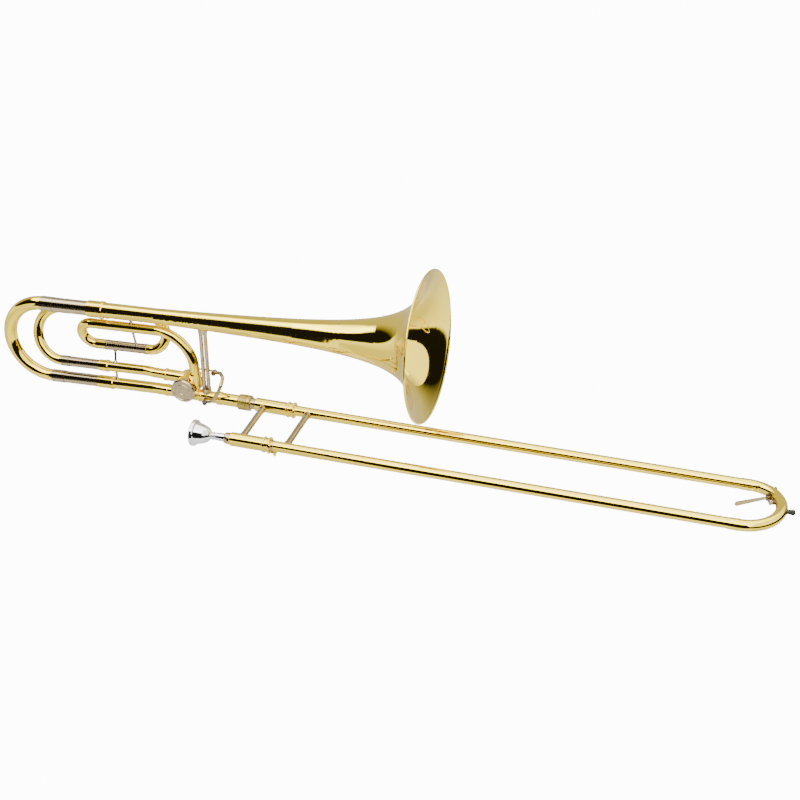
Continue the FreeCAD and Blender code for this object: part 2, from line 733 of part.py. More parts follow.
foot_radius = num("bell_brace_radius + bell_brace_half + 0.3")
feet = [
    upright(foot_radius, brace_low - 2, brace_low + BRACE_FOOT).cut(neck_void),
    upright(foot_radius, brace_high - BRACE_FOOT, brace_high + 3).cut(bell_void),
]
brace_gap = 4
rods = [
    upright(num("bell_brace_radius"), brace_low + brace_gap, brace_high - brace_gap, side * num("bell_brace_half"))
    for side in (-1, 1)
]
feet = [foot.cut(rods[0]).cut(rods[1]) for foot in feet]
node(made("bell_brace", Part.makeCompound(rods)))
node(made("bell_brace_flanges", Part.makeCompound([max(f.Solids, key=lambda s: s.Volume) for f in feet])))

# ---- F attachment -------------------------------------------------------------------------------
f_outer, f_inner = num("f_radius"), num("f_radius - tube_wall")
rise_x = num("valve_x + port_offset")
curve_start = V(rise_x, 0, num("port_offset + knuckle_front"))
top_slope = num("tilt_sin / tilt_cos")
top_anchor = bell_point(num("f_curve_end"), num("f_top_drop"))
corner = V(rise_x, 0, top_anchor.z + (rise_x - top_anchor.x) * top_slope)
node(made("f_curve", bent([curve_start, corner, top_anchor], [num("f_curve_radius")], f_outer, f_inner)))

top = num("f_top_drop"), 0
low = num("f_low_drop"), num("f_low_back")
rear = num("f_rear_drop"), num("f_rear_back")
back_leg = num("f_return_drop"), 0


def u_bend(first, second, back, first_end, second_end):
    """Tubing that leaves one leg, makes a half turn and comes back along the other."""
    start, end = bell_point(back, *first), bell_point(back, *second)
    corners, radius = half_turn(start, end, back)
    if first_end < back:
        path = [bell_point(first_end, *first)] + corners + [bell_point(second_end, *second)]
    else:
        ahead = (bell_point(0) - bell_point(1)).normalize()
        path = [bell_point(first_end, *first), start + ahead * radius, end + ahead * radius]
        path += [bell_point(second_end, *second)]
    return bent(path, [radius, radius], f_outer, f_inner)


node(made("f_small_bow", u_bend(top, low, num("f_bow_back"), num("f_curve_end"), num("f_bow_end"))))
front_step = 2
low_start = bell_point(num("f_bow_end"), *low)
low_end = bell_point(num("f_front_back + ring_width") + front_step, *low)
lower_run = bent([low_start, low_end], [], f_outer, f_inner)
ahead = (low_end - low_start).normalize()
for at in (low_start, low_end - ahead * num("ring_width")):
    lower_run = lower_run.fuse(
        ring_face(at, ahead, f_outer + num("ferrule_ring") / 2, f_inner).extrude(ahead * num("ring_width"))
    )
node(made("f_lower_tube", lower_run.removeSplitter().Solids[0]))
sleeve_end = num("f_sleeve_back - f_sleeve_length")
front_back = num("f_front_back")
node(made("f_front_bow", u_bend(low, rear, front_back, front_back + num("ring_width") + front_step, sleeve_end)))

REAR_LEG = on_bell("f_rear_drop", "f_rear_back")
RETURN_LEG = on_bell("f_return_drop")
f_sets = [
    sleeve_set(
        f"f_{name}", "f_leg_radius", place, "f_sleeve_back", "f_sleeve_length", "f_ferrule_length", "f_radius",
    )
    for name, place in (("rear", REAR_LEG), ("return", RETURN_LEG))
]
node(group("f_sleeves", *[pair[0] for pair in f_sets]))
node(group("f_sleeve_ferrules", *[pair[1] for pair in f_sets]))

return_start = bell_point(sleeve_end, *back_leg)
level = num("2 * port_offset")
settle = V(num("valve_x - knuckle_back") - 16, 0, level)
crest = bell_point(num("f_front_back") + 6, *back_leg)
last = V(num("valve_x - knuckle_back"), 0, level)
S_BEND = 60
node(made("f_return_tube", bent([return_start, crest, settle, last], [S_BEND, S_BEND], f_outer, f_inner)))

F_CROOK_END = "(f_crook_back - ferrule_overlap)"
f_legs = [
    slide_leg(f"f_{name}", "f_leg_radius", "0.5", place, F_CROOK_END, "f_sleeve_back", "f_leg_length", "f_radius")
    for name, place in (("rear", REAR_LEG), ("return", RETURN_LEG))
]
crook_back, crook_end = num("f_crook_back"), num(F_CROOK_END)
node(made("f_crook", u_bend(rear, back_leg, crook_back, crook_end, crook_end)))
node(group("f_crook_ferrules", *[pair[1] for pair in f_legs]))
node(group("f_slide_legs", *[pair[0] for pair in f_legs]))


def post(first, first_radius, second, second_radius, thick):
    """A small soldered post between two tubes, with a spread foot on each."""
    along = second - first
    gap = along.Length
    along.normalize()
    start = first + along * (first_radius - 1)
    length = gap - first_radius - second_radius + 2
    foot = 2.2
    rod = Part.makeCylinder(thick, length, start, along)
    cones = [
        Part.makeCone(thick * 2, thick, foot + 1, start, along),
        Part.makeCone(thick, thick * 2, foot + 1, start + along * (length - foot - 1), along),
    ]
    shape = rod.multiFuse(cones)
    run = bell_point(0) - bell_point(1)
    for at, radius in ((first, first_radius), (second, second_radius)):
        shape = shape.cut(Part.makeCylinder(radius, 40, at - run * 20, run))
    return max(shape.Solids, key=lambda s: s.Volume)


POST = 1.9
near_post, far_post = num("f_curve_end") + 13, num("f_bow_end") - 12
rear_post = sleeve_end - num("ferrule_overlap") - 11
posts = [
    post(bell_point(near_post), num("bell_tail_radius"), bell_point(near_post, *top), f_outer, POST),
    post(bell_point(near_post, *top), f_outer, bell_point(near_post, *low), f_outer, POST),
    post(
        bell_point(rear_post, *low), f_outer,
        bell_point(rear_post, *back_leg), f_outer, POST,
    ),
    post(
        bell_point(rear_post, *back_leg), f_outer,
        bell_point(rear_post, num("leg_spacing")), num("neckpipe_radius"), POST,
    ),
]
node(made("f_brace_posts", Part.makeCompound(posts)))

# ---- thumb trigger ------------------------------------------------------------------------------
pivot = V(num("pivot_x"), 0, 0)
neck = num("neckpipe_radius")
hub_near = -(neck + num("hub_gap"))
hub_far = hub_near - num("hub_length")
screw = num("pivot_screw_radius")
neck_round = Part.makeCylinder(neck, 40, V(num("pivot_x") - 20, 0, 0), V(1, 0, 0))
saddle = Part.makeCylinder(num("hub_radius + 0.6"), neck, V(pivot.x, hub_near + 0.2, 0), V(0, 1, 0))
saddle = saddle.cut(neck_round)
saddle = min(saddle.Solids, key=lambda s: s.CenterOfMass.y)
saddle = saddle.cut(Part.makeCylinder(screw, neck, V(pivot.x, hub_near - 1, 0), V(0, 1, 0)))
node(made("trigger_saddle", saddle))
HEAD, HEAD_EXTRA, SEAT = 2.2, 1.6, 0.2
shank = Part.makeCylinder(screw, hub_near + SEAT - hub_far + 0.5, V(pivot.x, hub_far - SEAT, 0), V(0, 1, 0))
head = Part.makeCylinder(screw + HEAD_EXTRA, HEAD, V(pivot.x, hub_far - SEAT - HEAD, 0), V(0, 1, 0))
slot = Part.makeBox(20, 0.8, 0.9, V(pivot.x - 10, hub_far - SEAT - HEAD, -0.45))
node(made("trigger_pivot_screw", shank.fuse(head).cut(slot).removeSplitter().Solids[0]))

lever = num("lever_radius")
front = hub_far + num("lever_radius")
EYE_SPARE = 0.3
link_y = num(arm_end) + num("screw_height + seat_gap + link_radius") + EYE_SPARE
link_pin = V(num("link_pin_x"), link_y, num("link_pin_z"))
lever_y = link_y - num("link_radius + lever_radius + seat_gap") - 2 * EYE_SPARE
lever_path = [
    V(pivot.x + 1, front, 0.6),
    V(pivot.x + 11, front, 2.5),
    V(pivot.x + 20, front + 0.6, 17),
    V(pivot.x + 24.5, front + 3, 29),
    V(pivot.x + 23.5, 0, 36),
    V(pivot.x + 15, 11, 36),
    V(link_pin.x + 6, lever_y, link_pin.z + 1),
    V(link_pin.x, lever_y, link_pin.z),
]
lever_rod = bent(lever_path, [6, 14, 5, 6, 7, 4], lever)
hub = Part.makeCylinder(num("hub_radius"), num("hub_length"), V(pivot.x, hub_far, 0), V(0, 1, 0))
eye_thick = 2 * (lever + EYE_SPARE)
eye = Part.makeCylinder(lever + 1, eye_thick, V(link_pin.x, lever_y - eye_thick / 2, link_pin.z), V(0, 1, 0))
ball = Part.makeCylinder(num("crank_pin_radius"), lever + num("seat_gap + 2 * link_radius + 1.2") + 4 * EYE_SPARE,
                         V(link_pin.x, lever_y, link_pin.z), V(0, 1, 0))
hub_hole = Part.makeCylinder(screw + num("slide_clearance"), num("hub_length"), V(pivot.x, hub_far, 0), V(0, 1, 0))
trigger = hub.multiFuse([lever_rod, eye, ball]).cut(hub_hole).removeSplitter()
node(made("trigger_lever", trigger.Solids[0]))

link = num("link_radius")
crank_pin = valve_polar(num("crank_radius"), num("crank_angle"), link_y)
EYE_EXTRA, OPEN_CLEARANCE = 1.2, 1.5
link_path = [
    link_pin + V(-1, 0, 0),
    V(crank_pin.x + 2, link_y, link_pin.z - 1),
    crank_pin + V(0, 0, 2),
]
link_rod = bent(link_path, [5], link)
pin = num("crank_pin_radius")
thick = 2 * (link + EYE_SPARE)
eyes, holes = [], []
for at, clearance in ((link_pin, num("slide_clearance")), (crank_pin, OPEN_CLEARANCE)):
    base = V(at.x, link_y - thick / 2, at.z)
    eyes.append(Part.makeCylinder(pin + clearance + EYE_EXTRA, thick, base, V(0, 1, 0)))
    holes.append(Part.makeCylinder(pin + clearance, thick, base, V(0, 1, 0)))
linkage = link_rod.multiFuse(eyes)
for hole in holes:
    linkage = linkage.cut(hole)
node(made("trigger_link", linkage.removeSplitter().Solids[0]))

# return spring: a coil around the near end of the hub, one leg on the neckpipe, one on the lever
SPRING_WIRE, SPRING_TURNS, SIDES = 0.35, 1, 6
coil_radius = num("hub_radius") + 0.25 + SPRING_WIRE
coil_near = hub_near - SPRING_WIRE - 0.15
coil_step = (2 * SPRING_WIRE + 0.2) / SIDES
corner_radius = coil_radius / math.cos(math.pi / SIDES)
spring_path = [V(pivot.x - 15, coil_near, -coil_radius)]
for i in range(SIDES * SPRING_TURNS + 2):
    angle = math.radians(-120 + i * 360 / SIDES)
    away = V(math.cos(angle), 0, math.sin(angle)) * corner_radius
    spring_path.append(V(pivot.x, coil_near - i * coil_step, 0) + away)
spring_path.append(spring_path[-1] + V(9, 0, -1.2))
node(made("trigger_spring", bent(spring_path, [coil_radius * 0.97] * (len(spring_path) - 2), SPRING_WIRE)))

# ---- lock nut and inner slide -------------------------------------------------------------------
nut_end = "(0.1 + nut_length)"
shoulder_end = "(tenon_seat + shoulder_width)"
nut_shoulder = f"({shoulder_end} + seat_gap)"
neck_out = "tenon_large"
node(
    turned(
        "bell_lock_nut",
        [
            ("0.1", "thread_radius + slide_clearance"),
            (thread_end, "thread_radius + slide_clearance"),
            (thread_end, "shoulder_radius + slide_clearance"),
            (nut_shoulder, "shoulder_radius + slide_clearance"),
            (nut_shoulder, f"{neck_out} + slide_clearance"),
            (nut_end, f"{neck_out} + slide_clearance"),
            (nut_end, "nut_radius - 0.6"),
            (f"{nut_end} - 0.8", "nut_radius + 0.3"),
            ("nut_knurl_end + 1.2", "nut_radius + 0.3"),
            ("nut_knurl_end + 0.8", "nut_radius - 1"),
            ("nut_knurl_end", "nut_radius - 1"),
            ("nut_knurl_end", "nut_radius"),
            ("1.1", "nut_radius"),
            ("0.1", "nut_radius - 0.8"),
        ],
        BELL_SIDE,
    )
)
inner_skin = "(slide_bore + inner_wall)"
node(
    turned(
        "slide_tenon",
        [
            ("tenon_start", "slide_bore"), ("barrel_start", "slide_bore"), ("barrel_start", inner_skin),
            ("barrel_start + barrel_plug", inner_skin), ("barrel_start + barrel_plug", neck_out),
            (shoulder_end, neck_out), (shoulder_end, "shoulder_radius"), ("tenon_seat", "shoulder_radius"),
            ("tenon_seat", "tenon_large"), ("tenon_start", "tenon_small"),
        ],
        BELL_SIDE,
    )
)


def barrel(label, plug_bore, place):
    """A cork barrel: closed around what it is soldered to, open towards the bow."""
    return turned(
        label,
        [
            ("barrel_start", plug_bore), ("barrel_start + barrel_plug", plug_bore),
            ("barrel_start + barrel_plug", "barrel_radius - barrel_wall"),
            ("barrel_end", "barrel_radius - barrel_wall"), ("barrel_end", "barrel_radius"),
            ("barrel_start + 1", "barrel_radius"), ("barrel_start", "barrel_radius - 0.8"),
        ],
        place,
    )


outer_bore = "(slide_bore + inner_wall + stocking_height + slide_clearance)"
outer_skin = f"({outer_bore} + outer_wall)"
node(group("cork_barrels", barrel("barrel_bell_side", neck_out, BELL_SIDE),
           barrel("barrel_mouth_side", neck_out, MOUTH_SIDE)))
ring_bore = f"({outer_skin} + seat_gap)"
ring_end = "(barrel_end + end_ring_length)"
waist = "end_ring_radius - 1.7"
RING_OUTSIDE = [
    (ring_end, ring_bore), (ring_end, "end_ring_radius - 0.8"), (f"{ring_end} - 0.7", "end_ring_radius"),
    (f"{ring_end} - 2.2", "end_ring_radius"), (f"{ring_end} - 3.4", waist), ("barrel_end + 1.8", waist),
    ("barrel_end + 0.8", "end_ring_radius - 0.5"), ("barrel_end - 0.9", "end_ring_radius - 0.5"),
    ("barrel_end - 1.6", "end_ring_radius - 1.1"),
]
node(
    turned(
        "barrel_ring",
        [
            ("barrel_end - 1.6", "barrel_radius"), ("barrel_end", "barrel_radius"), ("barrel_end", ring_bore),
            *RING_OUTSIDE,
        ],
        BELL_SIDE,
    )
)
cork_start = "(barrel_start + barrel_plug)"
cork_end = f"({cork_start} + cork_length)"
corks = [
    tube(f"cork_{name}", cork_start, cork_end, f"{inner_skin} + seat_gap", "barrel_radius - barrel_wall", place)
    for name, place in (("bell_side", BELL_SIDE), ("mouth_side", MOUTH_SIDE))
]
node(group("slide_corks", *corks))


def inner_tube(label, start, place):
    """An inner slide tube with its stocking, the part that runs in the outer tube."""
    stock = f"{inner_skin} + stocking_height"
    return turned(
        label,
        [
            (start, "slide_bore"), ("inner_tube_end", "slide_bore"), ("inner_tube_end", inner_skin),
            ("inner_tube_end - 1", stock), ("inner_tube_end - stocking_length", stock),
            ("inner_tube_end - stocking_length - 4", inner_skin), (start, inner_skin),
        ],
        place,
    )


node(group("inner_tubes", inner_tube("inner_bell_side", "barrel_start", BELL_SIDE),
           inner_tube("inner_mouth_side", "barrel_start", MOUTH_SIDE)))

shank_end = "(mouth_receiver_x + shank_depth)"
lead_start = f"({shank_end} + 1)"
lead_end = f"({lead_start} + leadpipe_length)"
node(
    turned(
        "leadpipe",
        [
            (lead_start, "shank_tip_radius"), (lead_end, "slide_bore - 0.25"), (lead_end, "slide_bore"),
            (lead_start, "slide_bore"),
        ],
        MOUTH_SIDE,
    )
)
node(
    turned(
        "mouthpiece_receiver",
        [
            ("mouth_receiver_x", "shank_radius + slide_clearance"),
            (shank_end, "shank_tip_radius + slide_clearance"),
            (shank_end, "slide_bore"), ("barrel_start", "slide_bore"), ("barrel_start", inner_skin),
            (cork_start, inner_skin), (cork_start, neck_out),
            ("barrel_start", neck_out), ("mouth_receiver_x + 5", "neckpipe_radius"),
            ("mouth_receiver_x + 1.5", "neckpipe_radius - 0.4"), ("mouth_receiver_x", "neckpipe_radius - 1"),
        ],
        MOUTH_SIDE,
    )
)


def slide_brace(prefix, at, shell):
    """A brace between the two slide axes, with a socket on each side cut to the tube that it sits on."""
    spacing, radius, socket = num("slide_spacing"), num("brace_radius"), num("socket_radius")
    reach = shell + num("socket_length")
    inside = 2
    rod = Part.makeCylinder(radius, spacing - 2 * (shell + inside), V(at, -(shell + inside), 0), V(0, -1, 0))
    sockets = []
    for centre_y, way in ((0, -1), (-spacing, 1)):
        block = Part.makeCylinder(socket, reach, V(at, centre_y, 0), V(0, way, 0))
        round_tube = Part.makeCylinder(shell, 60, V(at - 30, centre_y, 0), V(1, 0, 0))
        block = block.cut(round_tube).cut(rod)
        sockets.append(max(block.Solids, key=lambda s: s.Volume))
    return made(f"{prefix}_brace", rod), sockets


brace, sockets = slide_brace("inner", num("inner_brace_x"), num("barrel_radius"))
node(brace)
node(made("inner_brace_sockets", Part.makeCompound(sockets)))

# ---- slide lock ---------------------------------------------------------------------------------
lock_bore = "(barrel_radius + slide_clearance)"
lock_ring = turned(
    "lock_blank",
    [
        ("barrel_end - 1.6", lock_bore), ("barrel_end + seat_gap", lock_bore),
        ("barrel_end + seat_gap", ring_bore),
        *RING_OUTSIDE,
    ],
    MOUTH_SIDE,
)
doc.recompute()
lock_axis = V(0, -num("slide_spacing"), 0)
end_x = num(ring_end)
knob = Part.makeCylinder(2.3, 3.6, lock_axis + V(end_x + 4.6, 0, -num("end_ring_radius") + 0.8), V(0, 0, -1))
knob = knob.fuse(Part.makeSphere(2.3, lock_axis + V(end_x + 4.6, 0, -num("end_ring_radius") - 2.8)))
arm = Part.makeBox(9, 5, 1.8, lock_axis + V(end_x - 1, -2.5, -num("end_ring_radius") + 0.4))
lip = Part.makeBox(2.4, 5, 3.4, lock_axis + V(end_x + 5.6, -2.5, -num("end_ring_radius") + 0.4))
lock = lock_ring.Shape.multiFuse([knob, arm, lip]).removeSplitter()
node(made("slide_lock_ring", lock.Solids[0]))

# ---- hand slide ---------------------------------------------------------------------------------
outer_start = f"({cork_end} + seat_gap)"
node(group("outer_tubes",
           tube("outer_bell_side", outer_start, "bow_x", outer_bore, outer_skin, BELL_SIDE),
           tube("outer_mouth_side", outer_start, "bow_x", outer_bore, outer_skin, MOUTH_SIDE)))
brace, sockets = slide_brace("outer", num("outer_brace_x"), num(outer_skin))
node(brace)
CATCH_TURN = 34
catch = Part.makeBox(3.6, 3, num("end_ring_radius") - 3 - num(outer_skin),
                     V(end_x + 1.2, -1.5, -num("end_ring_radius") + 3))
catch.rotate(V(0, 0, 0), V(1, 0, 0), -CATCH_TURN)
catch.translate(lock_axis)
outer_round = Part.makeCylinder(num(outer_skin), 60, lock_axis + V(60, 0, 0), V(1, 0, 0))
catch = catch.fuse(Part.makeCylinder(num(outer_skin) + 0.5, 3.6, lock_axis + V(end_x + 1.2, 0, 0), V(1, 0, 0)))
catch = catch.cut(outer_round).removeSplitter().Solids[0]
node(made("outer_brace_sockets", Part.makeCompound(sockets + [catch])))

bow_span = num("slide_spacing")
bow_x = num("bow_x")
bow_skin, bow_bore = num("bow_radius"), num(f"{outer_skin} - 0.6")
half = bow_span / 2
bow_path = [V(bow_x, 0, 0), V(bow_x + half, 0, 0), V(bow_x + half, -bow_span, 0), V(bow_x, -bow_span, 0)]
bow = bent(bow_path, [half, half], bow_skin, bow_bore)
bow_centre = V(bow_x, -half, 0)


def around_bow(radius, degrees, z=0.0):
    """A point about the bow's centre, the angle counted from +X towards +Y."""
    angle = math.radians(degrees)
    return bow_centre + V(radius * math.cos(angle), radius * math.sin(angle), z)


key_at, key_pivot_at = num("key_angle"), num("key_pivot_angle")
inward = (bow_centre - around_bow(1, key_at)).normalize()
drain = Part.makeCylinder(2.2, bow_skin + 6, around_bow(half, key_at), inward)
bow = bow.cut(drain).Solids[0]
node(made("slide_bow", bow))
ferrules = []
for name, place in (("bell_side", BELL_SIDE), ("mouth_side", MOUTH_SIDE)):
    ferrules.append(
        turned(
            f"bow_ferrule_{name}",
            [
                ("bow_x - bow_ferrule", outer_skin), ("bow_x", outer_skin), ("bow_x", "bow_radius + 0.5"),
                ("bow_x - ring_width", "bow_radius + 0.5"), ("bow_x - ring_width", "bow_radius + 0.15"),
                ("bow_x - bow_ferrule", "bow_radius + 0.15"),
            ],
            place,
        )
    )
node(group("bow_ferrules", *ferrules))

# water key: nipple and pivot posts soldered to the bow, lever, cork and spring
NIPPLE, NIPPLE_BORE, NIPPLE_LENGTH = 3.4, 2.2, 3.0
bow_solid = bent(bow_path, [half, half], bow_skin)
nipple = Part.makeCylinder(NIPPLE, bow_skin + NIPPLE_LENGTH, around_bow(half, key_at), inward)
nipple = nipple.cut(bow_solid).cut(drain)
nipple = max(nipple.Solids, key=lambda s: s.Volume)
pivot_radius = half - bow_skin - 3.4
pivot_at = around_bow(pivot_radius, key_pivot_at)
PIN, CHEEK, CHEEK_GAP, PIVOT_LENGTH = 1.1, 1.2, 3.3, 9
cheeks = []
for side in (-1, 1):
    low_z = side * CHEEK_GAP if side > 0 else -CHEEK_GAP - CHEEK
    plate = Part.makeCylinder(2.4, CHEEK, pivot_at + V(0, 0, low_z))
    web = Part.makeBox(pivot_radius, 4.8, CHEEK, V(0, -2.4, 0))
    web.rotate(V(0, 0, 0), V(0, 0, 1), key_pivot_at)
    web.translate(pivot_at + V(0, 0, low_z))
    plate = plate.fuse(web).cut(bow_solid)
    plate = min(plate.Solids, key=lambda s: (s.CenterOfMass - bow_centre).Length)
    cheeks.append(plate.cut(Part.makeCylinder(PIN, 30, pivot_at - V(0, 0, 15))))
holder_x = bow_x + half + bow_skin
holder = Part.makeCone(4.2, 3.2, 2.6, V(holder_x - 1.4, -half, 0), V(1, 0, 0)).cut(bow_solid)
holder = max(holder.Solids, key=lambda s: s.CenterOfMass.x)
stud = Part.makeCylinder(1.4, 7, V(holder_x + 1.2, -half, 0), V(1, 0, 0))
holder = holder.fuse(stud).removeSplitter().Solids[0]
KNOB_TURN, KNOB, KNOB_LENGTH = 56, 2.7, 4
outward = around_bow(1, KNOB_TURN) - bow_centre
knob = Part.makeCylinder(KNOB, bow_skin + KNOB_LENGTH, around_bow(half, KNOB_TURN), outward).cut(bow_solid)
knob = max(knob.Solids, key=lambda s: (s.CenterOfMass - bow_centre).Length)
node(made("bow_fittings", Part.makeCompound([nipple] + cheeks + [holder, knob])))
node(made("water_key_pin", Part.makeCylinder(PIN, PIVOT_LENGTH, pivot_at - V(0, 0, PIVOT_LENGTH / 2))))

CORK, CORK_RADIUS, SEAT_GAP = 2.4, 3.2, 0.15
cork_at = around_bow(half - bow_skin - NIPPLE_LENGTH - SEAT_GAP, key_at)
node(made("water_key_cork", Part.makeCylinder(CORK_RADIUS, CORK, cork_at, inward)))
plate_at = cork_at + inward * CORK
cup = Part.makeCylinder(CORK_RADIUS + 0.8, 1.4, plate_at, inward)
barrel_hub = Part.makeCylinder(2.3, 2 * (CHEEK_GAP - 0.3), pivot_at - V(0, 0, CHEEK_GAP - 0.3))
blade_tip = V(bow_x - 11, -half, 0)
blade_root = pivot_at + (blade_tip - pivot_at).normalize() * 1.5
LEAF, LEAF_TIP, LEAF_ROOT = 1.3, 3.6, 2.2
reach = (blade_tip - blade_root).Length
leaf = Part.makePolygon([V(0, 0, -LEAF_ROOT), V(reach, 0, -LEAF_TIP), V(reach, 0, LEAF_TIP), V(0, 0, LEAF_ROOT),
                         V(0, 0, -LEAF_ROOT)])
leaf = Part.Face(leaf).extrude(V(0, LEAF, 0))
leaf = leaf.fuse(Part.makeCylinder(LEAF_TIP, LEAF, V(reach, 0, 0), V(0, 1, 0)))
heading = blade_tip - blade_root
leaf.rotate(V(0, 0, 0), V(0, 0, 1), math.degrees(math.atan2(heading.y, heading.x)))
leaf.translate(blade_root)
strip = bent([plate_at + inward * 1.6, pivot_at], [], 1.5)
cork_space = Part.makeCylinder(CORK_RADIUS + 0.8, CORK + NIPPLE_LENGTH, plate_at, -inward)
key = cup.multiFuse([barrel_hub, strip.cut(cork_space), leaf])
key = key.cut(Part.makeCylinder(PIN + num("slide_clearance"), 30, pivot_at - V(0, 0, 15))).removeSplitter()
node(made("water_key_lever", key.Solids[0]))

tip_at = "(bow_x + slide_spacing / 2 + bow_radius + 1.2)"
node(
    turned(
        "bumper_tip",
        [
            (tip_at, "1.4"), (f"{tip_at} + 7", "1.4"), (f"{tip_at} + 7", "0"), (f"{tip_at} + tip_length", "0"),
            (f"{tip_at} + tip_length", "tip_radius - 1.9"), (f"{tip_at} + tip_length - 1.2", "tip_radius - 0.7"),
            (f"{tip_at} + 6.6", "tip_radius"), (f"{tip_at} + 3.5", "tip_radius - 0.5"), (tip_at, "tip_radius - 1"),
        ],
        along_x("-slide_spacing / 2"),
    )
)

# ---- mouthpiece ---------------------------------------------------------------------------------
face = "mouthpiece_rim_x"
# distance behind the rim's face, and radius
CUP_THROAT = ((22.5, 3.3), (31, 3.3))
CUP_OUTSIDE = (
    (38, 5.7), (34.4, 5), (33.6, 5.8), (31.8, 5.8), (31, 4.6), (30.2, 4.6), (29, 5.6), (27, 8.2), (24, 10.8),
    (20, 12.8), (15, 14.3), (10, 15.5), (7.4, 16.2), (6.8, 18.3), (5.6, 19),
)
CUP_INSIDE = ((0.4, 14.4), (1.8, 13), (8, 12), (15, 9.2), (20, 5.2))


def stations(table):
    """Outline points of the mouthpiece from a table of distances and radii."""
    return [(f"{face} + {back}", str(radius)) for back, radius in table]


node(
    turned(
        "mouthpiece",
        [
            *stations(CUP_THROAT), (shank_end, "shank_tip_radius - 0.7"),
            (shank_end, "shank_tip_radius"), ("mouth_receiver_x", "shank_radius"),
            *stations(CUP_OUTSIDE), (f"{face} + 2.2", "mouthpiece_rim_radius"),
            (f"{face} + 0.9", "mouthpiece_rim_radius - 0.7"), (face, "mouthpiece_rim_radius - 2.6"),
            *stations(CUP_INSIDE),
        ],
        MOUTH_SIDE,
    )
)

# ---- checks and output --------------------------------------------------------------------------
doc.recompute()
for obj in doc.Objects:
    if any(flag in obj.State for flag in ("Invalid", "Error")):
        raise RuntimeError(f"{obj.Label} failed: {obj.State}")
os.makedirs("parts", exist_ok=True)
for obj in nodes:
    shape = obj.Shape
    if shape.isNull() or not shape.isValid() or not shape.Solids:
        raise RuntimeError(f"{obj.Label} has no valid solid")
    shape.exportStep(f"parts/{obj.Label}.step")
print(len(nodes), "sub-parts written")
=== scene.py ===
"""Looks of the tenor trombone: metal finishes, knurled and milled bands, a spring and the white studio."""

import logging
import math
from dataclasses import dataclass, field
from enum import Enum

import bpy
from mathutils import Matrix, Vector


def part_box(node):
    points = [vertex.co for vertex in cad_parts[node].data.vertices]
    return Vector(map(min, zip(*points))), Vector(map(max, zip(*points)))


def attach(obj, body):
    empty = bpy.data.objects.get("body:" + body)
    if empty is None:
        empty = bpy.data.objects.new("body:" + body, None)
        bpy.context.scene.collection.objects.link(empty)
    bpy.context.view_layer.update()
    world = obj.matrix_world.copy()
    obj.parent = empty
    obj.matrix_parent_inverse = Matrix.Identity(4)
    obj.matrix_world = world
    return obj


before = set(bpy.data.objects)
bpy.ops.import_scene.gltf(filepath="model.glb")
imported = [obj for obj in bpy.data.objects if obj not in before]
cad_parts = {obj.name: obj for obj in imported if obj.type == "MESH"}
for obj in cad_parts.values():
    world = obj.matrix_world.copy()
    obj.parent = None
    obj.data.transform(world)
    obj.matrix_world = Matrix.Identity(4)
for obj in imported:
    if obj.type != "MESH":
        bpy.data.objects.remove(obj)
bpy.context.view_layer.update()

LOG = logging.getLogger("trombone")
MM = 0.001
SEED = 7


Colour = tuple[float, float, float]


class Body(str, Enum):
    """The bodies that the added pieces ride on."""

    BELL = "bell_section"
    NUT = "lock_nut"
    SLIDE = "hand_slide"


# ---- materials ----------------------------------------------------------------------------------
@dataclass(frozen=True)
class MetalFinish:
    """A polished or brushed metal under lacquer or plating.

    Attributes:
        name: material name.
        slot: the record's material slot.
        colour: linear colour of the clean metal.
        worn: linear colour of the handled or toned places.
        roughness: mean roughness.
        spread: how far the roughness wanders.
        coat: weight of the clear lacquer.
        bump: height of the fine surface texture, in metres.
        grain: squeeze of the texture along X, which gives drawn or brushed lines.
        nodes: the CAD nodes that have this finish.
    """

    name: str
    slot: str
    colour: Colour
    worn: Colour
    roughness: float
    spread: float = 0.05
    coat: float = 0.0
    bump: float = 0.000002
    grain: float = 1.0
    nodes: tuple[str, ...] = field(default=())


@dataclass(frozen=True)
class SoftFinish:
    """Rubber or cork: no metal, with a grain.

    Attributes:
        name: material name.
        slot: the record's material slot.
        dark: linear colour of the low places.
        light: linear colour of the high places.
        roughness: mean roughness.
        scale: number of grains per metre.
        nodes: the CAD nodes that have this finish.
    """

    name: str
    slot: str
    dark: Colour
    light: Colour
    roughness: float
    scale: float
    nodes: tuple[str, ...] = field(default=())


GOLD = MetalFinish(
    "gold_lacquer", "lacquered_brass", (0.94, 0.72, 0.06), (0.90, 0.66, 0.045), 0.05, 0.03, 0.15,
    nodes=(
        "bell", "bell_rim_wire", "valve_casing", "valve_knuckles", "f_curve", "f_small_bow", "f_front_bow",
        "f_return_tube", "main_crook", "f_crook", "slide_bow", "cork_barrels", "f_sleeve_ferrules",
        "main_sleeve_ferrules", "bell_receiver", "barrel_ring", "slide_lock_ring", "bow_ferrules",
    ),
)
GOLD_DRAWN = MetalFinish(
    "gold_lacquer_tube", "lacquered_brass", (0.94, 0.72, 0.06), (0.90, 0.66, 0.045), 0.06, 0.03, 0.15,
    grain=0.04, nodes=("gooseneck", "neckpipe", "outer_tubes"),
)
NICKEL = MetalFinish(
    "nickel_lacquer", "nickel_silver", (0.44, 0.35, 0.20), (0.37, 0.29, 0.16), 0.10, 0.02, 0.15, grain=0.1,
    nodes=(
        "main_slide_sleeves", "main_crook_ferrules", "f_lower_tube", "f_sleeves", "f_crook_ferrules",
        "main_slide_legs", "f_slide_legs", "bell_brace", "bell_brace_flanges", "f_brace_posts",
    ),
)
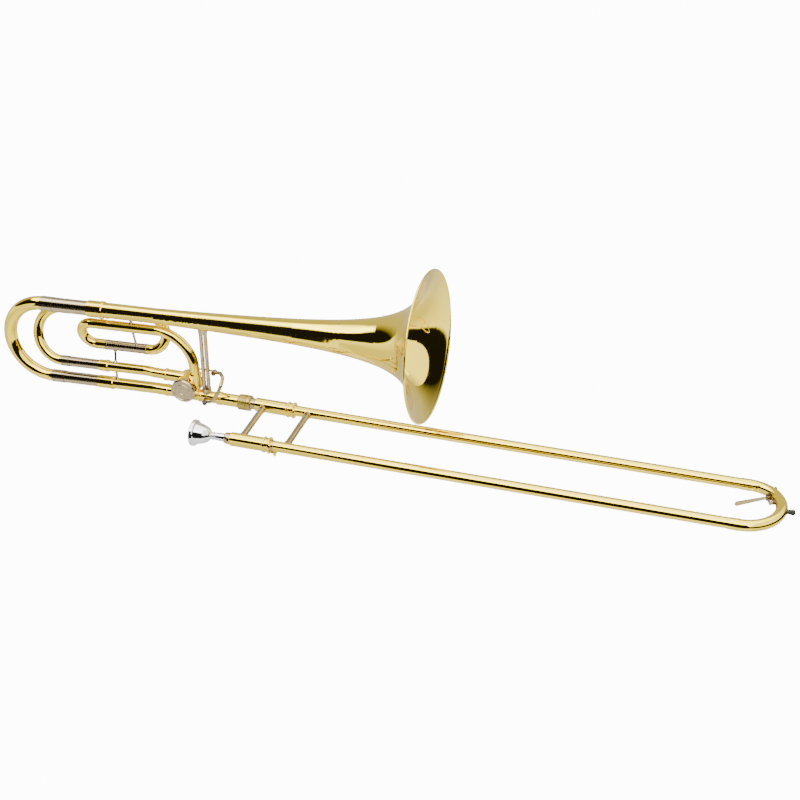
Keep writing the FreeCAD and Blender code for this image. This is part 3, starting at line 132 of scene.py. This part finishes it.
NICKEL_BRIGHT = MetalFinish(
    "nickel_bright", "nickel_silver", (0.46, 0.35, 0.17), (0.36, 0.27, 0.12), 0.12, 0.04, 0.15,
    nodes=(
        "inner_brace", "inner_brace_sockets", "outer_brace", "outer_brace_sockets", "trigger_lever",
        "trigger_link", "trigger_saddle", "stop_arm", "water_key_lever", "slide_tenon", "mouthpiece_receiver",
        "valve_front_bearing", "valve_rear_bearing",
    ),
)
TONED = MetalFinish(
    "toned_nickel", "nickel_silver", (0.10, 0.07, 0.035), (0.05, 0.035, 0.02), 0.22, 0.05, 0.1,
    nodes=("bow_fittings",),
)
CAP = MetalFinish(
    "valve_cap_nickel", "nickel_silver", (0.46, 0.37, 0.22), (0.36, 0.28, 0.16), 0.2, 0.06, 0.1,
    nodes=("valve_cap",),
)
NUT = MetalFinish(
    "satin_nut", "nickel_silver", (0.46, 0.35, 0.08), (0.34, 0.25, 0.05), 0.26, 0.06, 0.1,
    nodes=("bell_lock_nut",),
)
BRASS = MetalFinish(
    "bare_brass", "plain_brass", (0.72, 0.53, 0.26), (0.58, 0.41, 0.19), 0.25, 0.1,
    nodes=("rotor", "leadpipe"),
)
CHROME = MetalFinish(
    "chromed_tube", "chromed_tube", (0.75, 0.76, 0.77), (0.66, 0.67, 0.68), 0.08, 0.04, grain=0.04,
    nodes=("inner_tubes",),
)
SILVER = MetalFinish(
    "silver_plate", "silver_plate", (0.86, 0.87, 0.88), (0.76, 0.77, 0.79), 0.06, 0.03,
    nodes=("mouthpiece",),
)
STEEL = MetalFinish(
    "dark_steel", "steel", (0.22, 0.21, 0.20), (0.14, 0.13, 0.12), 0.3, 0.1,
    nodes=("trigger_spring", "trigger_pivot_screw", "stop_arm_screw", "water_key_pin"),
)
RUBBER = SoftFinish(
    "black_rubber", "black_rubber", (0.004, 0.004, 0.004), (0.012, 0.012, 0.012), 0.7, 2600,
    nodes=("stop_bumpers", "bumper_tip"),
)
CORK = SoftFinish(
    "pressed_cork", "cork", (0.22, 0.12, 0.05), (0.55, 0.38, 0.22), 0.85, 1500,
    nodes=("slide_corks", "water_key_cork"),
)


Finish = MetalFinish | SoftFinish


class NodeTree:
    """A thin wrapper that adds and links nodes."""

    def __init__(self, tree: bpy.types.NodeTree) -> None:
        """Take a tree and empty it."""
        self.tree = tree
        tree.nodes.clear()

    def add(self, kind: str, **inputs: object) -> bpy.types.Node:
        """Add a node and set or link its inputs.

        Args:
            kind: the node's bl_idname.
            **inputs: input names, with underscores for spaces; a socket is linked, anything else is set.

        Returns:
            The new node.
        """
        node = self.tree.nodes.new(kind)
        for name, value in inputs.items():
            self.feed(node, name.replace("_", " "), value)
        return node

    def feed(self, node: bpy.types.Node, name: str | int, value: object) -> None:
        """Link a socket to an input, or set the input's value.

        Args:
            node: the node whose input it is.
            name: the input's name or number.
            value: a socket to link, or a value to set.
        """
        if isinstance(value, bpy.types.NodeSocket):
            self.tree.links.new(value, node.inputs[name])
        else:
            node.inputs[name].default_value = value


@dataclass(frozen=True)
class Noise:
    """One layer of noise on a metal.

    Attributes:
        scale: patches per metre.
        detail: octaves.
        roughness: how strong the finer octaves are.
    """

    scale: float
    detail: float
    roughness: float = 0.5

    def add(self, nodes: NodeTree, space: bpy.types.NodeSocket) -> bpy.types.NodeSocket:
        """Add the layer to a tree.

        Args:
            nodes: the material's tree.
            space: texture coordinates.

        Returns:
            The layer's value.
        """
        layer = nodes.add(
            "ShaderNodeTexNoise", Vector=space, Scale=self.scale, Detail=self.detail, Roughness=self.roughness
        )
        return layer.outputs["Fac"]


TONING = Noise(28.0, 4.0, 0.55)
SMUDGES = Noise(160.0, 6.0, 0.7)
HAIRLINES = Noise(2400.0, 2.0)
HAIRLINE_STRENGTH = 0.25
SMOOTHEST = 0.02
LACQUER_ROUGHNESS = 0.03
GRAIN_DEPTH = 0.1 * MM
GRAIN_STRENGTH = 0.5
FINE_GRAINS = 2
FINE_DETAIL = 5.0
TONE_EDGES = (0.35, 0.65)


def rgba(colour: Colour) -> tuple[float, float, float, float]:
    """A colour with full alpha."""
    return (*colour, 1.0)


def texture_space(nodes: NodeTree, grain: float) -> bpy.types.NodeSocket:
    """Object coordinates, squeezed along X where the metal has drawn lines.

    Args:
        nodes: the material's tree.
        grain: the squeeze, 1 for none.

    Returns:
        The texture coordinates.
    """
    place = nodes.add("ShaderNodeTexCoord")
    mapping = nodes.add("ShaderNodeMapping", Vector=place.outputs["Object"])
    mapping.inputs["Scale"].default_value = (grain, 1.0, 1.0)
    return mapping.outputs["Vector"]


def mixed(nodes: NodeTree, factor: bpy.types.NodeSocket, low: Colour, high: Colour) -> bpy.types.NodeSocket:
    """A colour that runs from low to high with the factor.

    Args:
        nodes: the material's tree.
        factor: the value that picks the colour.
        low: the colour up to the first of TONE_EDGES.
        high: the colour from the second.

    Returns:
        The mixed colour.
    """
    ramp = nodes.add("ShaderNodeValToRGB", Fac=factor)
    for element, position, colour in zip(ramp.color_ramp.elements, TONE_EDGES, (low, high)):
        element.position = position
        element.color = rgba(colour)
    return ramp.outputs["Color"]


def metal_material(finish: MetalFinish) -> bpy.types.Material:
    """Build a metal's node tree: toned colour, wandering roughness, hairlines and lacquer.

    Args:
        finish: the metal.

    Returns:
        The material.
    """
    material = bpy.data.materials.new(finish.name)
    material.use_nodes = True
    nodes = NodeTree(material.node_tree)
    space = texture_space(nodes, finish.grain)
    toning, smudges, hairlines = (layer.add(nodes, space) for layer in (TONING, SMUDGES, HAIRLINES))
    rough = nodes.add("ShaderNodeMapRange", Value=smudges)
    rough.inputs["To Min"].default_value = max(finish.roughness - finish.spread, SMOOTHEST)
    rough.inputs["To Max"].default_value = finish.roughness + finish.spread
    bump = nodes.add("ShaderNodeBump", Height=hairlines, Distance=finish.bump, Strength=HAIRLINE_STRENGTH)
    shader = nodes.add(
        "ShaderNodeBsdfPrincipled",
        Base_Color=mixed(nodes, toning, finish.worn, finish.colour),
        Roughness=rough.outputs["Result"],
        Normal=bump.outputs["Normal"],
        Metallic=1.0,
        Coat_Weight=finish.coat,
        Coat_Roughness=LACQUER_ROUGHNESS,
    )
    nodes.add("ShaderNodeOutputMaterial", Surface=shader.outputs["BSDF"])
    return material


def soft_material(finish: SoftFinish) -> bpy.types.Material:
    """Build a rubber's or cork's node tree: a grained colour and bump.

    Args:
        finish: the rubber or cork.

    Returns:
        The material.
    """
    material = bpy.data.materials.new(finish.name)
    material.use_nodes = True
    nodes = NodeTree(material.node_tree)
    space = texture_space(nodes, 1.0)
    grain = nodes.add("ShaderNodeTexVoronoi", Vector=space, Scale=finish.scale)
    fine = nodes.add("ShaderNodeTexNoise", Vector=space, Scale=finish.scale * FINE_GRAINS, Detail=FINE_DETAIL)
    bump = nodes.add(
        "ShaderNodeBump", Height=grain.outputs["Distance"], Distance=GRAIN_DEPTH, Strength=GRAIN_STRENGTH
    )
    shader = nodes.add(
        "ShaderNodeBsdfPrincipled",
        Base_Color=mixed(nodes, fine.outputs["Fac"], finish.dark, finish.light),
        Roughness=finish.roughness,
        Normal=bump.outputs["Normal"],
    )
    nodes.add("ShaderNodeOutputMaterial", Surface=shader.outputs["BSDF"])
    return material


class Paintshop:
    """Makes each finish once and gives it to CAD nodes and new pieces."""

    METALS = (GOLD, GOLD_DRAWN, NICKEL, NICKEL_BRIGHT, TONED, CAP, NUT, BRASS, CHROME, SILVER, STEEL)
    SOFTS = (RUBBER, CORK)

    def __init__(self) -> None:
        """Make every finish."""
        self.made = {finish.name: metal_material(finish) for finish in self.METALS}
        self.made.update({finish.name: soft_material(finish) for finish in self.SOFTS})

    def paint_frame(self) -> None:
        """Give every CAD node its finish."""
        for finish in (*self.METALS, *self.SOFTS):
            for name in finish.nodes:
                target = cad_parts[name]
                for slot in target.material_slots:
                    slot.material = self.made[finish.name]
                if not target.material_slots:
                    target.data.materials.append(self.made[finish.name])
                LOG.info("%s has %s", name, finish.name)

    def paint(self, piece: bpy.types.Object, finish: Finish) -> None:
        """Give a new piece its finish.

        Args:
            piece: the new piece.
            finish: its finish.
        """
        piece.data.materials.clear()
        piece.data.materials.append(self.made[finish.name])


# ---- repeats through geometry nodes -------------------------------------------------------------
@dataclass
class RingPattern:
    """A ring of small copies about an axis along X or Y, made by a geometry node tree.

    Attributes:
        name: the piece's name.
        centre: a point on the axis, in metres.
        axis: unit vector of the axis.
        radius: radius of the ring.
        count: copies around the ring.
        rows: rows of copies along the axis.
        pitch: distance between rows.
        tooth: size of one copy (around, along the axis, out).
        crest: half width of a copy at its top, as a part of its size.
        root: the same at its foot.
        shortest: the smallest random size of a copy, as a part of the full one.
    """

    name: str
    centre: Vector
    axis: Vector
    radius: float
    count: int
    rows: int
    pitch: float
    tooth: tuple[float, float, float]
    crest: float = 0.25
    root: float = 0.72
    shortest: float = 0.93

    def tree(self, material: bpy.types.Material) -> bpy.types.NodeTree:
        """Build the node tree with its named inputs.

        Args:
            material: the material of the copies.

        Returns:
            The node tree.
        """
        group = bpy.data.node_groups.new(f"{self.name}_pattern", "GeometryNodeTree")
        group.interface.new_socket("Geometry", in_out="INPUT", socket_type="NodeSocketGeometry")
        group.interface.new_socket("Geometry", in_out="OUTPUT", socket_type="NodeSocketGeometry")
        for label, kind in (("Count", "Int"), ("Radius", "Float"), ("Seed", "Int")):
            group.interface.new_socket(label, in_out="INPUT", socket_type=f"NodeSocket{kind}")
        nodes = NodeTree(group)
        source = nodes.add("NodeGroupInput")
        circle = nodes.add(
            "GeometryNodeMeshCircle", Vertices=source.outputs["Count"], Radius=source.outputs["Radius"]
        )
        rows = nodes.add("GeometryNodeMeshLine", Count=self.rows, Offset=(0.0, 0.0, self.pitch))
        rings = nodes.add(
            "GeometryNodeInstanceOnPoints", Points=rows.outputs["Mesh"], Instance=circle.outputs["Mesh"]
        )
        real = nodes.add("GeometryNodeRealizeInstances", Geometry=rings.outputs["Instances"])
        where = nodes.add("GeometryNodeInputPosition")
        flat = nodes.add("ShaderNodeVectorMath", Vector=where.outputs["Position"])
        flat.operation = "MULTIPLY"
        flat.inputs[1].default_value = (1.0, 1.0, 0.0)
        turn = nodes.add("FunctionNodeAlignRotationToVector", Vector=flat.outputs["Vector"])
        turn.axis = "Z"
        upright = nodes.add("FunctionNodeAlignRotationToVector", Rotation=turn.outputs["Rotation"])
        upright.axis = "Y"
        upright.pivot_axis = "Z"
        upright.inputs["Vector"].default_value = (0.0, 0.0, 1.0)
        jitter = nodes.add("FunctionNodeRandomValue", Seed=source.outputs["Seed"])
        jitter.data_type = "FLOAT"
        numbers = [socket for socket in jitter.inputs if socket.type == "VALUE"]
        limits = [socket for socket in numbers if socket.name in ("Min", "Max")]
        for limit, size in zip(limits, (self.shortest, 1.0)):
            limit.default_value = size
        picked = next(socket for socket in jitter.outputs if socket.type == "VALUE")
        tooth = nodes.add(
            "GeometryNodeMeshCone", Vertices=4, Radius_Top=self.crest, Radius_Bottom=self.root, Depth=1.0
        )
        shape = nodes.add("GeometryNodeTransform", Geometry=tooth.outputs["Mesh"], Scale=self.tooth)
        teeth = nodes.add(
            "GeometryNodeInstanceOnPoints",
            Points=real.outputs["Geometry"],
            Instance=shape.outputs["Geometry"],
            Rotation=upright.outputs["Rotation"],
            Scale=picked,
        )
        solid = nodes.add("GeometryNodeRealizeInstances", Geometry=teeth.outputs["Instances"])
        finish = nodes.add("GeometryNodeSetMaterial", Geometry=solid.outputs["Geometry"], Material=material)
        nodes.add("NodeGroupOutput", Geometry=finish.outputs["Geometry"])
        return group

    def build(self, material: bpy.types.Material) -> bpy.types.Object:
        """Apply the tree to an empty mesh.

        Args:
            material: the material of the copies.

        Returns:
            The plain result, as a piece with its place in its mesh.
        """
        host = bpy.data.objects.new(f"{self.name}_host", bpy.data.meshes.new(f"{self.name}_host"))
        bpy.context.collection.objects.link(host)
        modifier = host.modifiers.new("pattern", "NODES")
        modifier.node_group = self.tree(material)
        values = {"Count": self.count, "Radius": self.radius, "Seed": SEED}
        for item in modifier.node_group.interface.items_tree:
            if item.in_out == "INPUT" and item.name in values:
                modifier[item.identifier] = values[item.name]
        graph = bpy.context.evaluated_depsgraph_get()
        mesh = bpy.data.meshes.new_from_object(host.evaluated_get(graph))
        bpy.data.objects.remove(host)
        mesh.name = self.name
        turn = Vector((0, 0, 1)).rotation_difference(self.axis).to_matrix().to_4x4()
        first_row = self.centre - self.axis * (self.rows - 1) * self.pitch / 2
        mesh.transform(Matrix.Translation(first_row) @ turn)
        piece = bpy.data.objects.new(self.name, mesh)
        bpy.context.collection.objects.link(piece)
        return piece


def middle(node: str) -> Vector:
    """The middle of a CAD node's box."""
    low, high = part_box(node)
    return (Vector(low) + Vector(high)) / 2


# ---- added pieces -------------------------------------------------------------------------------
@dataclass
class Knurling:
    """The knurled band of the lock nut and the milled edge of the valve cap.

    Attributes:
        shop: where the finishes come from.
        knurl_middle: from the nut's player end to the middle of its knurl.
        knurl_sink: how far the knurl's teeth sit into the nut.
        knurl_ring: teeth in a row and rows.
        knurl_pitch: between rows of teeth or ribs.
        knurl_tooth: size of a tooth (around, along, out).
        mill_middle: from the cap's far face to the middle of its milled edge.
        mill_sink: how far the ribs sit into the cap.
        mill_ring: ribs in a row and rows.
        mill_tooth: size of a rib (around, along, out).
    """

    shop: Paintshop
    knurl_middle: float = 6.8 * MM
    knurl_sink: float = 0.32 * MM
    knurl_ring: tuple[int, int] = (56, 11)
    knurl_pitch: float = 1.0 * MM
    knurl_tooth: tuple[float, float, float] = (0.85 * MM, 0.7 * MM, 0.35 * MM)
    mill_middle: float = 1.9 * MM
    mill_sink: float = 0.06 * MM
    mill_ring: tuple[int, int] = (90, 1)
    mill_tooth: tuple[float, float, float] = (0.8 * MM, 2.6 * MM, 0.45 * MM)

    def nut_band(self) -> bpy.types.Object:
        """Make the lock nut's knurl.

        Returns:
            The new piece.
        """
        low, high = (Vector(corner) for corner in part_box("bell_lock_nut"))
        radius = (high.z - low.z) / 2 - self.knurl_sink
        centre = Vector((low.x + self.knurl_middle, 0, 0))
        ring = RingPattern(
            "lock_nut_knurl", centre, Vector((1, 0, 0)), radius,
            *self.knurl_ring, self.knurl_pitch, self.knurl_tooth,
        )
        band = ring.build(self.shop.made[NUT.name])
        self.shop.paint(band, NUT)
        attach(band, Body.NUT.value)
        return band

    def cap_edge(self) -> bpy.types.Object:
        """Make the valve cap's milled edge.

        Returns:
            The new piece.
        """
        low, high = (Vector(corner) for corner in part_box("valve_cap"))
        radius = (high.z - low.z) / 2 - self.mill_sink
        centre = middle("valve_cap")
        centre.y = high.y - self.mill_middle
        ring = RingPattern(
            "valve_cap_milling", centre, Vector((0, 1, 0)), radius,
            *self.mill_ring, self.knurl_pitch, self.mill_tooth,
        )
        band = ring.build(self.shop.made[CAP.name])
        self.shop.paint(band, CAP)
        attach(band, Body.BELL.value)
        return band

    def build(self) -> list[bpy.types.Object]:
        """Make both bands, the nut's first."""
        return [self.nut_band(), self.cap_edge()]


@dataclass
class KeySpring:
    """The water key's spring: two short coils on its pin, one at each side of the lever.

    Attributes:
        shop: where the finishes come from.
        turns: turns of each coil.
        wire: radius of the wire.
        coil: radius of a coil.
        offset: from the lever's middle to each coil's middle.
        span: length of a coil.
        steps_per_turn: points on each turn.
        roundness: steps that round a quarter of the wire.
    """

    shop: Paintshop
    turns: int = 2
    wire: float = 0.28 * MM
    coil: float = 2.75 * MM
    offset: float = 2.3 * MM
    span: float = 0.7 * MM
    steps_per_turn: int = 20
    roundness: int = 3

    def build(self) -> list[bpy.types.Object]:
        """Sweep a round wire along a helix on each side of the lever.

        Returns:
            The spring, as a list of one piece.
        """
        centre = middle("water_key_pin")
        steps = self.steps_per_turn * self.turns
        curve = bpy.data.curves.new("water_key_spring", "CURVE")
        curve.dimensions = "3D"
        curve.bevel_depth = self.wire
        curve.bevel_resolution = self.roundness
        for side in (-1, 1):
            spline = curve.splines.new("POLY")
            spline.points.add(steps)
            for i, point in enumerate(spline.points):
                share = i / steps
                angle = 2 * math.pi * self.turns * share
                around = Vector((math.cos(angle), math.sin(angle), 0)) * self.coil
                shift = Vector((0, 0, side * self.offset + (share - 0.5) * self.span))
                point.co = (*(centre + around + shift), 1.0)
        holder = bpy.data.objects.new("water_key_spring_path", curve)
        bpy.context.collection.objects.link(holder)
        graph = bpy.context.evaluated_depsgraph_get()
        mesh = bpy.data.meshes.new_from_object(holder.evaluated_get(graph))
        bpy.data.objects.remove(holder)
        mesh.shade_smooth()
        piece = bpy.data.objects.new("water_key_spring", mesh)
        bpy.context.collection.objects.link(piece)
        self.shop.paint(piece, STEEL)
        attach(piece, Body.SLIDE.value)
        return [piece]


# ---- studio -------------------------------------------------------------------------------------
@dataclass(frozen=True)
class Studio:
    """Plain pale floor, soft light and the camera.

    The room's light is a dome with a dark side. A ramp runs up it: light at the horizon, dark between the
    two edges of the dark side, then the sky. The edges are sines of the elevation and change going round
    from the bow's side to the player's.

    Attributes:
        backdrop: brightness of the floor and of the backdrop behind the instrument.
        sky: brightness of the soft light above.
        dark: brightness of the dark side.
        horizon: brightness below the dark side.
        ground: brightness straight down, as a part of the horizon's.
        behind: brightness of the dome behind the instrument.
        warmth: tint of the dome.
        behind_warmth: tint of the dome behind the instrument.
        floor_z: height of the floor.
        floor_half: half the width of the floor.
        band: lower and upper edge of the dark side on the bow's side.
        bands: where the edges start and stop changing, going round, and the edges after that.
        edge_marks: where the two edges stand on the ramp.
        cap: highest place on the ramp on the bow's side, which keeps the sky softer there.
        cap_reach: where the cap starts and stops giving way, going round.
        full: where the ramp ends, so that nothing is capped.
        facing: direction of the part of the dome that has the ramp.
        facing_reach: where that part fades in, as cosines to its direction.
        focal: focal length in millimetres.
        sensor: width of the camera's sensor in millimetres.
        place: the camera's place.
        right: the camera's axis to the right.
        down: the camera's axis downwards.
        forward: the camera's axis forwards.
    """

    backdrop: float = 13.0
    sky: float = 9.0
    dark: float = 0.015
    horizon: float = 2.4
    ground: float = 0.55
    behind: float = 0.9
    warmth: Colour = (1.0, 0.985, 0.95)
    behind_warmth: Colour = (1.0, 0.97, 0.88)
    floor_z: float = -0.45
    floor_half: float = 12.0
    band: tuple[float, float] = (-0.34, 0.22)
    bands: tuple[tuple[float, float, tuple[float, float]], ...] = (
        (0.42, 0.22, (-0.40, 0.68)),
        (-0.27, -0.31, (0.08, 0.74)),
        (-0.39, -0.43, (-0.44, 0.88)),
        (-0.47, -0.55, (0.15, 0.70)),
    )
    edge_marks: tuple[float, float] = (0.3, 0.7)
    cap: float = 0.682
    cap_reach: tuple[float, float] = (0.42, 0.30)
    full: float = 1.0
    facing: tuple[float, float, float] = (0.40, -0.91, 0.0)
    facing_reach: tuple[float, float] = (-0.65, -0.3)
    focal: float = 88.17
    sensor: float = 36.0
    place: Vector = Vector((0.9827, -2.2194, 1.4939))
    right: Vector = Vector((0.9514, 0.3078, -0.0126))
    down: Vector = Vector((0.1518, -0.5041, -0.8502))
    forward: Vector = Vector((-0.2681, 0.8069, -0.5263))

    def camera(self) -> None:
        """Create the scene's camera."""
        data = bpy.data.cameras.new("camera")
        data.lens = self.focal
        data.sensor_width = self.sensor
        eye = bpy.data.objects.new("camera", data)
        bpy.context.collection.objects.link(eye)
        turn = Matrix((self.right, -self.down, -self.forward)).transposed().to_4x4()
        eye.matrix_world = Matrix.Translation(self.place) @ turn
        bpy.context.scene.camera = eye

    def split(
        self, nodes: NodeTree, light: bpy.types.NodeSocket, seen: bpy.types.NodeSocket
    ) -> bpy.types.NodeSocket:
        """Keep what the backdrop looks like apart from the light that falls on the instrument.

        Args:
            nodes: the node tree.
            light: the shader for light and reflections.
            seen: the shader for what is seen directly.

        Returns:
            The shader that has both.
        """
        rays = nodes.add("ShaderNodeLightPath")
        mix = nodes.add("ShaderNodeMixShader", Fac=rays.outputs["Is Camera Ray"])
        nodes.feed(mix, 1, light)
        nodes.feed(mix, 2, seen)
        return mix.outputs["Shader"]

    def floor(self) -> None:
        """Lay a plain pale floor that lets reflections through to the room's own light."""
        mesh = bpy.data.meshes.new("floor")
        half = self.floor_half
        corners = [(x * half, y * half, self.floor_z) for x, y in ((-1, -1), (1, -1), (1, 1), (-1, 1))]
        mesh.from_pydata(corners, [], [(0, 1, 2, 3)])
        plane = bpy.data.objects.new("floor", mesh)
        bpy.context.collection.objects.link(plane)
        material = bpy.data.materials.new("pale_floor")
        material.use_nodes = True
        nodes = NodeTree(material.node_tree)
        clear = nodes.add("ShaderNodeBsdfTransparent")
        white = nodes.add("ShaderNodeEmission", Color=rgba((1.0, 1.0, 1.0)), Strength=self.backdrop)
        surface = self.split(nodes, clear.outputs["BSDF"], white.outputs["Emission"])
        nodes.add("ShaderNodeOutputMaterial", Surface=surface)
        mesh.materials.append(material)

    def span(
        self, nodes: NodeTree, value: bpy.types.NodeSocket, reach: tuple[float, float],
        low: float | bpy.types.NodeSocket, high: float,
    ) -> bpy.types.NodeSocket:
        """Map a value over a reach to run from low to high.

        Args:
            nodes: the world's node tree.
            value: the socket to map.
            reach: the values at which the result starts and stops changing.
            low: the result before the reach.
            high: the result after it.

        Returns:
            The mapped socket.
        """
        mapped = nodes.add("ShaderNodeMapRange", Value=value)
        mapped.inputs["From Min"].default_value, mapped.inputs["From Max"].default_value = reach
        nodes.feed(mapped, "To Min", low)
        nodes.feed(mapped, "To Max", high)
        return mapped.outputs["Result"]

    def stops(self) -> tuple[tuple[float, float], ...]:
        """Set out the ramp from the ground to the top.

        Returns:
            The places on the ramp and their greys, as parts of the sky's brightness.
        """
        low, dark = self.horizon / self.sky, self.dark / self.sky
        ground = ((0.0, low * self.ground), (0.28, low))
        return (*ground, (0.31, dark), (0.67, dark), (0.71, 1.0), (0.8, 0.6), (1.0, 0.3))

    def dome(self, nodes: NodeTree, x: bpy.types.NodeSocket, z: bpy.types.NodeSocket) -> bpy.types.NodeSocket:
        """Build the dome's ramp, with the dark side's edges changing going round.

        Args:
            nodes: the world's node tree.
            x: the direction's X.
            z: the direction's Z.

        Returns:
            The ramp's colour.
        """
        edges = list(self.band)
        for start, stop, after in self.bands:
            edges = [self.span(nodes, x, (start, stop), edge, later) for edge, later in zip(edges, after)]
        height = nodes.add("ShaderNodeMapRange", Value=z)
        height.clamp = False
        for name, edge in zip(("From Min", "From Max"), edges):
            nodes.feed(height, name, edge)
        height.inputs["To Min"].default_value, height.inputs["To Max"].default_value = self.edge_marks
        capped = nodes.add("ShaderNodeMath")
        capped.operation = "MINIMUM"
        nodes.feed(capped, 0, height.outputs["Result"])
        nodes.feed(capped, 1, self.span(nodes, x, self.cap_reach, self.cap, self.full))
        ramp = nodes.add("ShaderNodeValToRGB", Fac=capped.outputs["Value"])
        elements = ramp.color_ramp.elements
        while len(elements) < len(self.stops()):
            elements.new(0.5)
        for element, (position, grey) in zip(elements, self.stops()):
            element.position = position
            element.color = rgba(tuple(grey * part for part in self.warmth))
        return ramp.outputs["Color"]

    def room(self) -> None:
        """Light the scene from the dome, with a plain side behind the instrument and a white backdrop."""
        world = bpy.data.worlds.new("studio")
        world.use_nodes = True
        bpy.context.scene.world = world
        nodes = NodeTree(world.node_tree)
        place = nodes.add("ShaderNodeTexCoord")
        parts = nodes.add("ShaderNodeSeparateXYZ", Vector=place.outputs["Generated"])
        ramp = self.dome(nodes, parts.outputs["X"], parts.outputs["Z"])
        cosine = nodes.add("ShaderNodeVectorMath", Vector=place.outputs["Generated"])
        cosine.operation = "DOT_PRODUCT"
        cosine.inputs[1].default_value = self.facing
        side = self.span(nodes, cosine.outputs["Value"], self.facing_reach, 0.0, 1.0)
        lit = nodes.add("ShaderNodeMix", Factor=side)
        lit.data_type = "RGBA"
        plain_side, ramp_side = (socket for socket in lit.inputs if socket.type == "RGBA")
        shade = self.behind / self.sky
        plain_side.default_value = rgba(tuple(shade * part for part in self.behind_warmth))
        nodes.tree.links.new(ramp, ramp_side)
        colour = next(socket for socket in lit.outputs if socket.type == "RGBA")
        dome = nodes.add("ShaderNodeBackground", Color=colour, Strength=self.sky)
        white = nodes.add("ShaderNodeBackground", Color=rgba((1.0, 1.0, 1.0)), Strength=self.backdrop)
        surface = self.split(nodes, dome.outputs["Background"], white.outputs["Background"])
        nodes.add("ShaderNodeOutputWorld", Surface=surface)

    def build(self) -> None:
        """Set up the camera, the floor and the room."""
        self.camera()
        self.floor()
        self.room()


def main() -> None:
    """Build the whole look and report each piece."""
    logging.basicConfig(level=logging.INFO)
    shop = Paintshop()
    shop.paint_frame()
    for maker in (Knurling(shop), KeySpring(shop)):
        for piece in maker.build():
            LOG.info("%s built, %d faces", piece.name, len(piece.data.polygons))
    Studio().build()


if __name__ == "__main__":
    main()
